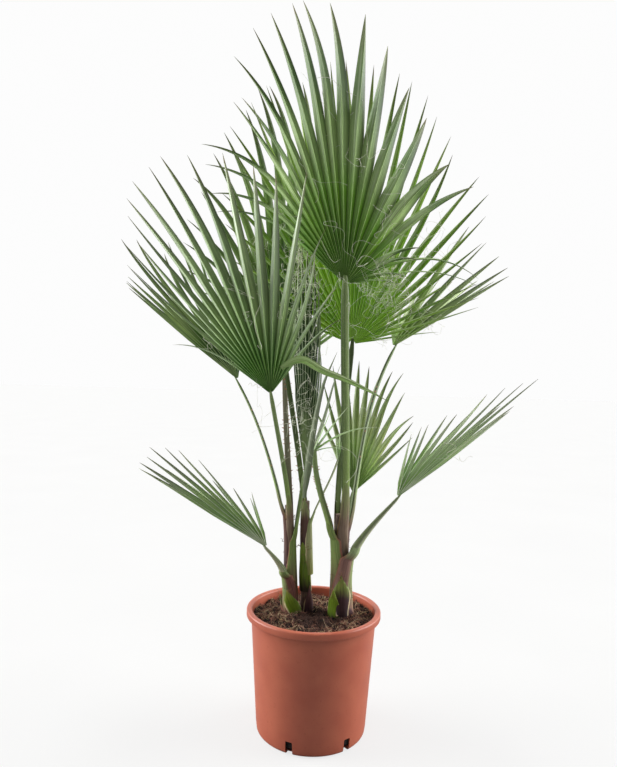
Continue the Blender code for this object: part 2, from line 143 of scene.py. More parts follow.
def piece(name, rings, finishes, slot, replaces=(), sharp=SHARP, deal=None, uv=None, **point_values):
    """Make one mesh object from rings and set it in the frame.

    sharp: degrees between faces that make an edge sharp; deal: number of the finish for each body
    and row; uv: place on the surface for each point; point_values: further numbers for each point,
    which its finish reads by name
    """
    points, faces = skin(rings)
    mesh = bpy.data.meshes.new(name)
    mesh.vertices.add(len(points))
    mesh.vertices.foreach_set("co", points.ravel())
    mesh.loops.add(faces.size)
    mesh.loops.foreach_set("vertex_index", faces.ravel())
    mesh.polygons.add(len(faces))
    mesh.polygons.foreach_set("loop_start", np.arange(0, faces.size, 4))
    mesh.update(calc_edges=True)
    if deal is not None:
        mesh.polygons.foreach_set("material_index", row_values(deal, rings.shape[2]).astype(np.int32))
    bm = bmesh.new()
    bm.from_mesh(mesh)
    bmesh.ops.recalc_face_normals(bm, faces=bm.faces)
    bm.to_mesh(mesh)
    bm.free()
    if uv is not None:
        corners = np.empty(faces.size, np.int32)
        mesh.loops.foreach_get("vertex_index", corners)
        places = mesh.uv_layers.new(name="surface").uv
        places.foreach_set("vector", uv.reshape(-1, 2)[corners].ravel())
    for key, values in point_values.items():
        attribute = mesh.attributes.new(key, "FLOAT", "POINT")
        attribute.data.foreach_set("value", np.broadcast_to(values, rings.shape[:3]).ravel())
    mesh.shade_smooth()
    mesh.set_sharp_from_angle(angle=math.radians(sharp))
    for finish in finishes:
        mesh.materials.append(finish)
    obj = bpy.data.objects.new(name, mesh)
    bpy.context.scene.collection.objects.link(obj)
    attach(obj, "root")
    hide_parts(*replaces)
    return obj


def turned(profile, sides):
    """Rings of a body of revolution from its profile of (radius, height); one body."""
    profile = np.array(profile, float)
    flat = level(np.arange(sides) * 2 * math.pi / sides)
    return (profile[:, 0, None, None] * flat + profile[:, 1, None, None] * UP)[None]


def tubes(paths, radii, sides=4):
    """Rings of round tubes along paths, (tube, row, xyz), with a radius for each tube and row.

    Each ring stands square to its path; a fixed direction for each tube says where it starts.
    """
    run = unit(np.gradient(paths, axis=1))
    lean = unit(np.roll(run.mean(1), 1, axis=1) + [0.3, 0.2, 0.5])[:, None]
    first = square_to(np.broadcast_to(lean, run.shape), run)
    second = np.cross(run, first)
    turn = (np.arange(sides) + 0.5) * 2 * math.pi / sides
    ring = np.cos(turn)[:, None] * first[:, :, None] + np.sin(turn)[:, None] * second[:, :, None]
    return paths[:, :, None] + ring * np.asarray(radii)[..., None, None]


def strands(rng, paths, thin, thick):
    """Rings of round threads along paths, each with a radius of its own from thin to thick, in mm."""
    radii = rng.uniform(thin, thick, (len(paths), 1)) * MM
    return tubes(paths, np.repeat(radii, paths.shape[1], 1))


def closed(outer, inner, x, v):
    """Rings round a shell with an outer and an inner side, and places on its surface.

    x runs from -1 to 1 across the shell, and v is the share of its length, in a column.
    """
    u = (np.concatenate([x, x[::-1]]) + 1) / 2
    rings = np.concatenate([outer, inner[..., ::-1, :]], -2)
    return rings, np.stack(np.broadcast_arrays(u, v), -1)


print("faces of a four-sided tube with two rings:", len(skin(np.zeros((1, 2, 4, 3)))[1]))

# %% [markdown]
# ## Small tools for finishes
# A finish is a small tree of nodes that ends in one Principled shader. Colours are written as the
# sRGB codes that a paint program shows and turned to linear light by one function, and one function
# adds a node with its settings and links. The others set out what several finishes share: blotches,
# one colour over another, a mask made of several, the place across a strip.

# %% Colours and nodes


def linear(hex_code):
    """Linear colour of an sRGB hex code, with alpha 1."""
    channels = [int(hex_code[i:i + 2], 16) / 255 for i in (0, 2, 4)]
    return (*[c / 12.92 if c <= 0.04045 else ((c + 0.055) / 1.055) ** 2.4 for c in channels], 1)


def add(tree, kind, sockets=None, out=0, **settings):
    """Add one node and return one of its outputs.

    sockets maps a socket to a value, to a colour code or to another node's output.
    """
    node = tree.nodes.new("ShaderNode" + kind)
    for key, value in settings.items():
        setattr(node, key, value)
    for key, value in (sockets or {}).items():
        if isinstance(value, bpy.types.NodeSocket):
            tree.links.new(value, node.inputs[key])
        else:
            node.inputs[key].default_value = linear(value) if isinstance(value, str) else value
    return node.outputs[out]


def finish(name, roughness, ior=1.45, **more):
    """New material with a Principled shader; returns it, its tree and the shader."""
    material = bpy.data.materials.new(name)
    material.use_nodes = True
    tree = material.node_tree
    shader = tree.nodes["Principled BSDF"]
    shader.inputs["Roughness"].default_value = roughness
    shader.inputs["IOR"].default_value = ior
    shader.inputs["Metallic"].default_value = 0
    for key, value in more.items():
        shader.inputs[key.replace("_", " ")].default_value = value
    return material, tree, shader


def grain(tree, size, stretch=(1, 1, 1), detail=2.0, source=None):
    """Noise whose blotches are about size metres wide, drawn out by stretch; a number from 0 to 1."""
    source = source or add(tree, "TexCoord", out="Object")
    scale = tuple(1 / (size * s) for s in stretch)
    place = add(tree, "Mapping", {"Vector": source, "Scale": scale})
    return add(tree, "TexNoise", {"Vector": place, "Scale": 1.0, "Detail": detail})


def layer(tree, tone, colour, pattern, low, high, cover=1.0):
    """Colour laid over a tone, from none of it where the pattern is low to cover where it is high."""
    share = add(tree, "MapRange", {0: pattern, 1: low, 2: high, 4: cover})
    return add(tree, "Mix", {0: share, 6: tone, 7: colour}, 2, data_type="RGBA")


def coat(tree, shader, tone, relief=None, strength=1.0, depth=0.0):
    """Give the shader its colour and, where there is a relief, a bump of that depth in metres."""
    tree.links.new(tone, shader.inputs["Base Color"])
    if relief is not None:
        bump = add(tree, "Bump", {"Strength": strength, "Distance": depth, "Height": relief})
        tree.links.new(bump, shader.inputs["Normal"])


def product(tree, first, *factors):
    """Product of several numbers, by a chain of nodes."""
    for factor in factors:
        first = add(tree, "Math", {0: first, 1: factor}, operation="MULTIPLY")
    return first


def on_surface(tree):
    """Place on the surface, and its two parts: across and along."""
    place = add(tree, "UVMap", uv_map="surface")
    split = add(tree, "SeparateXYZ", {0: place}).node
    return place, split.outputs[0], split.outputs[1]


def off_middle(tree, across):
    """Distance from the middle of a strip, as a share of its width."""
    off = add(tree, "Math", {0: across, 1: 0.5}, operation="SUBTRACT")
    return add(tree, "Math", {0: off}, operation="ABSOLUTE")


def mottled(name, roughness, size, dark, light, ior=1.45):
    """Finish of two tones in blotches of one size."""
    material, tree, shader = finish(name, roughness, ior)
    coat(tree, shader, layer(tree, dark, light, grain(tree, size), 0.3, 0.7))
    return material


print("terracotta in linear light:", [round(c, 3) for c in linear("B45F47")[:3]])

# %% [markdown]
# ## Pot
# The pot is thin polypropylene, coloured like terracotta and injection moulded. Its wall tapers to
# the foot, the lip is a flange that turns down, and six slots round the foot let water out. A
# profile turned round the axis gives every round surface at once, and cutters then open the slots.

# %% Pot sizes
RIM_RADIUS = 0.120
NECK_RADIUS = 0.1116
BASE_RADIUS = 0.0971
POT_HEIGHT = 0.2135
LIP_HEIGHT = 0.0115
WALL = 0.0022
FLOOR_HEIGHT = 0.005
FOOT_FILLET = 0.006
LIP_ROUND = 0.0028
MOUTH_ROUND = 0.0035
RECESS = 0.0012
PINHOLE = 0.0004
SLOT_COUNT = 6
SLOT_WIDTH = 0.0125
SLOT_HEIGHT = 0.0225
FIRST_SLOT_BEARING = -112.0
SOIL_HEIGHT = 0.1905


def wall_radius(height):
    """Outer radius of the pot's tapering wall at a height."""
    return mix(BASE_RADIUS, NECK_RADIUS, height / (POT_HEIGHT - LIP_HEIGHT))


def arc(centre, radius, start, end, count=6):
    """Points of an arc in the profile plane, angles in degrees."""
    turn = np.radians(np.linspace(start, end, count))
    return [(centre[0] + radius * math.cos(a), centre[1] + radius * math.sin(a)) for a in turn]


print("wall radius at half height:", round(wall_radius(POT_HEIGHT / 2), 4))

# %% Pot finish
# Moulded polypropylene: the skin is satin, a little uneven from the mould, with dull rubbed patches
plastic, tree, shader = finish("moulded_terracotta_polypropylene", 0.4, ior=1.49)
cloud = grain(tree, 45 * MM)
speck = grain(tree, 4 * MM, detail=3)
tone = layer(tree, "AE5A44", "B9654C", cloud, 0.3, 0.7)
tone = layer(tree, tone, "A65540", speck, 0.6, 0.85)
coat(tree, shader, tone, speck, 0.5, 0.04 * MM)
rubbed = add(tree, "MapRange", {0: cloud, 1: 0.3, 2: 0.7, 3: 0.34, 4: 0.46})
tree.links.new(rubbed, shader.inputs["Roughness"])
print("pot finish:", plastic.name)

# %% Pot shell
lip_foot = POT_HEIGHT - LIP_HEIGHT
flange = RIM_RADIUS - WALL
mouth = NECK_RADIUS - WALL
# The rings start and end at a pinhole on the axis, too small to see
pot_profile = [
    (PINHOLE, RECESS), (0.080, RECESS), (0.0815, 0),
    *arc((wall_radius(0) - FOOT_FILLET, FOOT_FILLET), FOOT_FILLET, -90, 0),
    *[(wall_radius(z), z) for z in np.linspace(0.012, lip_foot - 0.004, 14)],
    (NECK_RADIUS - 0.0003, POT_HEIGHT - WALL - 0.0015), (NECK_RADIUS + 0.001, POT_HEIGHT - WALL),
    (flange - 0.0008, POT_HEIGHT - WALL), (flange, POT_HEIGHT - WALL - 0.0008),
    *arc((RIM_RADIUS - WALL / 2, lip_foot + WALL / 2), WALL / 2, 180, 360),
    *arc((RIM_RADIUS - LIP_ROUND, POT_HEIGHT - LIP_ROUND), LIP_ROUND, 0, 90),
    (mouth + MOUTH_ROUND, POT_HEIGHT),
    *arc((mouth + MOUTH_ROUND, POT_HEIGHT - MOUTH_ROUND), MOUTH_ROUND, 100, 180),
    *[(wall_radius(z) - WALL, z) for z in np.linspace(lip_foot - 0.004, 0.012, 10)],
    *arc((wall_radius(FLOOR_HEIGHT) - WALL - 0.004, FLOOR_HEIGHT + 0.004), 0.004, 0, -90, 4),
    (PINHOLE, FLOOR_HEIGHT),
]
pot_shell = piece("pot_shell", turned(pot_profile, 180), [plastic], "pot", ["pot"])


def cut(target, cutter):
    """Take the cutter's shape out of the target for good, and remove the cutter."""
    modifier = target.modifiers.new("cut", "BOOLEAN")
    modifier.object = cutter
    modifier.solver = "EXACT"
    graph = bpy.context.evaluated_depsgraph_get()
    cut_mesh = bpy.data.meshes.new_from_object(target.evaluated_get(graph))
    target.modifiers.clear()
    target.data = cut_mesh
    bpy.data.objects.remove(cutter)


def slot_blocks():
    """Rings of the six blocks that open the slots: a round-cornered outline carried outwards."""
    corner = 0.0016
    half = SLOT_WIDTH / 2
    head = arc((half - corner, SLOT_HEIGHT - corner), corner, 0, 90, 4)
    right = [(half, -0.01), *head]
    outline = np.array(right + [(-x, z) for x, z in reversed(right)])
    bearing = np.radians(FIRST_SLOT_BEARING + np.arange(SLOT_COUNT) * 360 / SLOT_COUNT)
    out = level(bearing)
    across = np.cross(UP, out)
    face = across[:, None] * outline[:, :1] + UP * outline[:, 1:]
    reach = BASE_RADIUS + np.array([-0.0115, 0.02])
    return out[:, None, None] * reach[None, :, None, None] + face[:, None]


blocks = piece("slot_blocks", slot_blocks(), [plastic], "pot")
cut(pot_shell, blocks)
pot_shell.data.set_sharp_from_angle(angle=math.radians(SHARP))
print("pot faces:", len(pot_shell.data.polygons))

# %% [markdown]
# ## Compost
# The pot is filled with peat and bark, matted with roots and pale coir. The bed is one closed body
# whose top is rumpled. Loose chips and fibres on it break the light as the real litter does, which a
# bump map alone can't do at the rim, where the surface is seen from the side.

# %% Compost finishes
# Peat: a dull, open crumb that swallows light, with paler fibre showing through. Between the stems it
# is darker, within a radius of the shaded place: painted shade from the stems and leaves above
SHADE_PLACE = (0.0, -0.025, 0.198)
SHADE_RADIUS = 0.05
peat, tree, shader = finish("peat_compost", 0.95)
crumb = grain(tree, 3 * MM, detail=4)
tone = layer(tree, "070403", "2E1E16", crumb, 0.35, 0.7)
# Blotches a centimetre or two wide are almost black: painted shade for the deep gaps in the crumb
tone = layer(tree, tone, "0A0605", grain(tree, 14 * MM), 0.62, 0.42)
# Painted shade: near the stems the peat turns almost black
far = add(tree, "VectorMath", {0: add(tree, "TexCoord", out="Object"), 1: SHADE_PLACE}, "Value",
          operation="DISTANCE")
tone = layer(tree, tone, "050302", far, SHADE_RADIUS, SHADE_RADIUS / 2, 0.7)
coat(tree, shader, tone, crumb, 1.0, 3 * MM)

# Bark chips: torn bark, each chip one of three browns, duller than wood. Near the stems every chip
# takes the darkest, as painted shade
bark_chips = [mottled("bark_chip_" + name, 0.9, 2 * MM, dark, light) for name, dark, light in (
    ("darkest_and_shaded", "120A08", "2A1A14"), ("dry", "4A2E22", "7A5040"), ("pale", "8A6A4C", "B49670"))]

# Coir: pale coconut fibre, dry and matt
coir_fibres = [mottled("coir_" + name, 0.8, 6 * MM, dark, light) for name, dark, light in (
    ("straw", "A68C68", "D6BE96"), ("brown", "38241A", "644438"), ("rust", "7A4E3E", "B07C66"))]
print("compost finishes:", 1 + len(bark_chips) + len(coir_fibres))

# %% Compost bed
BED_RINGS = 44
BED_SIDES = 150
BED_GAP = 0.0006
BED_RADIUS = wall_radius(SOIL_HEIGHT - 0.004) - WALL - BED_GAP
BED_RISE = 0.009
# Height, size and seed of the noise that makes the lumps
LUMPS = ((0.0030, 0.022, 1), (0.0034, 0.009, 2), (0.0022, 0.004, 3))


def bed_height(x, y):
    """Height of the compost's top: 9 mm over the plain solid, 2 mm less at the wall, and rumpled.

    lumps = the sum over three sizes of height * noise of that size
    """
    place = np.stack([x, y, np.zeros_like(x)], -1)
    lumps = sum(height * rumple(place, size, seed) for height, size, seed in LUMPS)
    return SOIL_HEIGHT + BED_RISE - 0.002 * smooth(0.085, BED_RADIUS, np.hypot(x, y)) + lumps


share = np.linspace(1, 0.004, BED_RINGS)
top = turned([(BED_RADIUS * s, 0) for s in share], BED_SIDES)
top[..., 2] = bed_height(top[..., 0], top[..., 1])
low = FLOOR_HEIGHT + 0.0004
side = turned([(PINHOLE, low), (wall_radius(low) - WALL - 0.005, low),
               (wall_radius(0.012) - WALL - BED_GAP, 0.012),
               (BED_RADIUS, SOIL_HEIGHT - 0.02)], BED_SIDES)
bed = piece("compost_bed", np.concatenate([side, top], 1), [peat], "compost", ["soil"], sharp=180)
print("compost bed faces:", len(bed.data.polygons))

# %% Litter on the bed
CHIP_COUNT = 1100
CHIP_SIZES = (1.2, 4.2)
FIBRE_COUNT = 2000
FIBRE_ROWS = 9
FIBRE_LENGTHS = (8, 42)
HIGHEST_HOP = 7 * MM
# Sizes and lengths are in millimetres, from the least to the most. The shares say how many chips and
# fibres have each finish, in the order of the lists of finishes
CHIP_SHARES = (0.56, 0.34, 0.10)
FIBRE_SHARES = (0.17, 0.53, 0.30)


def on_bed(rng, count, reach):
    """Random places on the bed, as many for each area; returns x, y and height."""
    radius = reach * np.sqrt(rng.uniform(0, 1, count))
    bearing = rng.uniform(0, 2 * math.pi, count)
    x, y = radius * np.cos(bearing), radius * np.sin(bearing)
    return np.stack([x, y, bed_height(x, y)], -1)


def chips(rng, count):
    """Rings of flat torn chips: three uneven four-sided rings each, turned any way.

    The middle ring is the widest; the outer two stand 0.8 * 1.3 of the chip's size from it.
    """
    size = rng.uniform(*CHIP_SIZES, (count, 1, 1)) * MM * rng.uniform(0.6, 1, (count, 1, 1))
    turn = (np.arange(4) + 0.5) * math.pi / 2
    flat = np.stack([np.cos(turn), 0.5 * np.sin(turn)], -1) * rng.uniform(0.6, 1.3, (count, 3, 4, 2))
    axes = unit(rng.normal(size=(count, 3, 3)) * [1, 1, 0.5])
    long = axes[:, 0]
    wide = square_to(axes[:, 1], long)
    thick = np.cross(long, wide)
    swell = np.array([0.55, 1.0, 0.5])[:, None]
    step = np.array([-0.8, 0.0, 0.8])
    rings = flat[..., 0, None] * wide[:, None, None] + flat[..., 1, None] * thick[:, None, None]
    rings = rings * (swell * size)[..., None] * 0.7
    rings = rings + step[:, None, None] * 1.3 * size[..., None] * long[:, None, None]
    place = on_bed(rng, count, BED_RADIUS - 0.004) + UP * 0.3 * MM
    return place[:, None, None] + rings


def curls(rng, starts, headings, lengths, wild, rows, turns=(0.6, 1.6, 3.1)):
    """Paths of curly threads, (thread, row, xyz).

    direction at t = unit(heading + the sum over three waves of wild * vector * sin(2 pi (f t + phase)))
    and the path is the running sum of the directions
    """
    count = len(starts)
    t = np.linspace(0, 1, rows - 1)
    heading = np.broadcast_to(headings[:, None], (count, rows - 1, 3)).copy()
    for turn in turns:
        speed = turn * rng.uniform(0.6, 1.5, (count, 1))
        phase = rng.uniform(0, 1, (count, 1))
        way = rng.normal(size=(count, 1, 3))
        heading += wild * way * np.sin(2 * math.pi * (speed * t + phase))[..., None]
    run = np.cumsum(unit(heading), 1) * (lengths / (rows - 1))[:, None, None]
    return starts[:, None] + np.concatenate([np.zeros((count, 1, 3)), run], 1)


rng = np.random.default_rng(11)
chip_rings = chips(rng, CHIP_COUNT)
chip_kind = rng.choice(3, CHIP_COUNT, p=CHIP_SHARES)[:, None].repeat(2, 1)
# Painted shade: every chip near the stems takes the darkest finish
chip_kind[np.linalg.norm(chip_rings.mean((1, 2)) - SHADE_PLACE, axis=1) < SHADE_RADIUS] = 0
piece("compost_chips", chip_rings, bark_chips, "compost", sharp=25, deal=chip_kind)

starts = on_bed(rng, FIBRE_COUNT, BED_RADIUS - 0.006) + UP * 0.5 * MM
way = rng.normal(size=(FIBRE_COUNT, 3)) * [1, 1, 0.25]
length = rng.uniform(*FIBRE_LENGTHS, FIBRE_COUNT) * MM
paths = curls(rng, starts, unit(way), length, 0.5, FIBRE_ROWS)
flat_reach = np.hypot(paths[..., 0], paths[..., 1])
paths[..., :2] *= np.minimum(1, (BED_RADIUS - 0.002) / flat_reach)[..., None]
# A fibre lies on the bed and hops over it here and there
ground = bed_height(paths[..., 0], paths[..., 1])
hop = np.abs(paths[..., 2] - starts[:, None, 2]) * 0.7
paths[..., 2] = ground + 0.4 * MM + np.minimum(hop, HIGHEST_HOP)
fibre_rings = strands(rng, paths, 0.14, 0.38)
fibre_kind = rng.choice(3, FIBRE_COUNT, p=FIBRE_SHARES)[:, None].repeat(FIBRE_ROWS - 1, 1)
# Painted shade: every fibre near the stems takes the brown finish
fibre_kind[np.linalg.norm(paths[:, 0] - SHADE_PLACE, axis=1) < 0.8 * SHADE_RADIUS] = 1
piece("compost_fibres", fibre_rings, coir_fibres, "compost", sharp=60, deal=fibre_kind)
print("chips:", CHIP_COUNT, "fibres:", FIBRE_COUNT)

# %% [markdown]
# ## The plant's rule
# Stems, leaf stalks and blades follow the rule that gave the plain solids, with the same values, so
# each piece lands where its solid is. A frond is told by its hub, by the way its middle segment
# points and its upper side looks, and by how far the segments fan out, reach and sag.

# %% Stems, scales and fronds
STEM_FOOT = SOIL_HEIGHT + 0.0003
FLARE_RISE = (0, 0.012, 0.030)
FLARE_SHARE = (0.15, 0.05, 0)

Stem = namedtuple("Stem", "foot top foot_radius top_radius")
STEMS = {
    "stem_left": Stem((-0.041, 0.018), (-0.0505, 0.018, 0.392), 0.0115, 0.0070),
    "stem_middle": Stem((-0.0135, 0.026), (-0.0200, 0.022, 0.400), 0.0100, 0.0075),
    "stem_right": Stem((0.0490, 0.010), (0.0455, 0.010, 0.380), 0.0175, 0.0100),
}

# name, stem, bearing and half angle in degrees, foot and top height, gap to the stem, how far the top
# stands off
Boot = namedtuple("Boot", "name stem bearing half foot top inset splay")
BOOT_FOOT = 0.1890
BOOTS = (
    Boot("right_front", "stem_right", -92, 42, 0.205, 0.266, 0.0062, 0.001),
    Boot("right_foot", "stem_right", -60, 60, BOOT_FOOT, 0.238, 0.0010, 0.001),
    Boot("right_side", "stem_right", -165, 34, BOOT_FOOT, 0.240, 0.0003, 0.010),
    Boot("left_front", "stem_left", -80, 56, BOOT_FOOT, 0.252, 0.0008, 0.004),
    Boot("left_side", "stem_left", 175, 34, BOOT_FOOT, 0.228, 0.0003, 0.006),
    Boot("middle_front", "stem_middle", -60, 50, BOOT_FOOT, 0.248, 0.0003, 0.001),
)

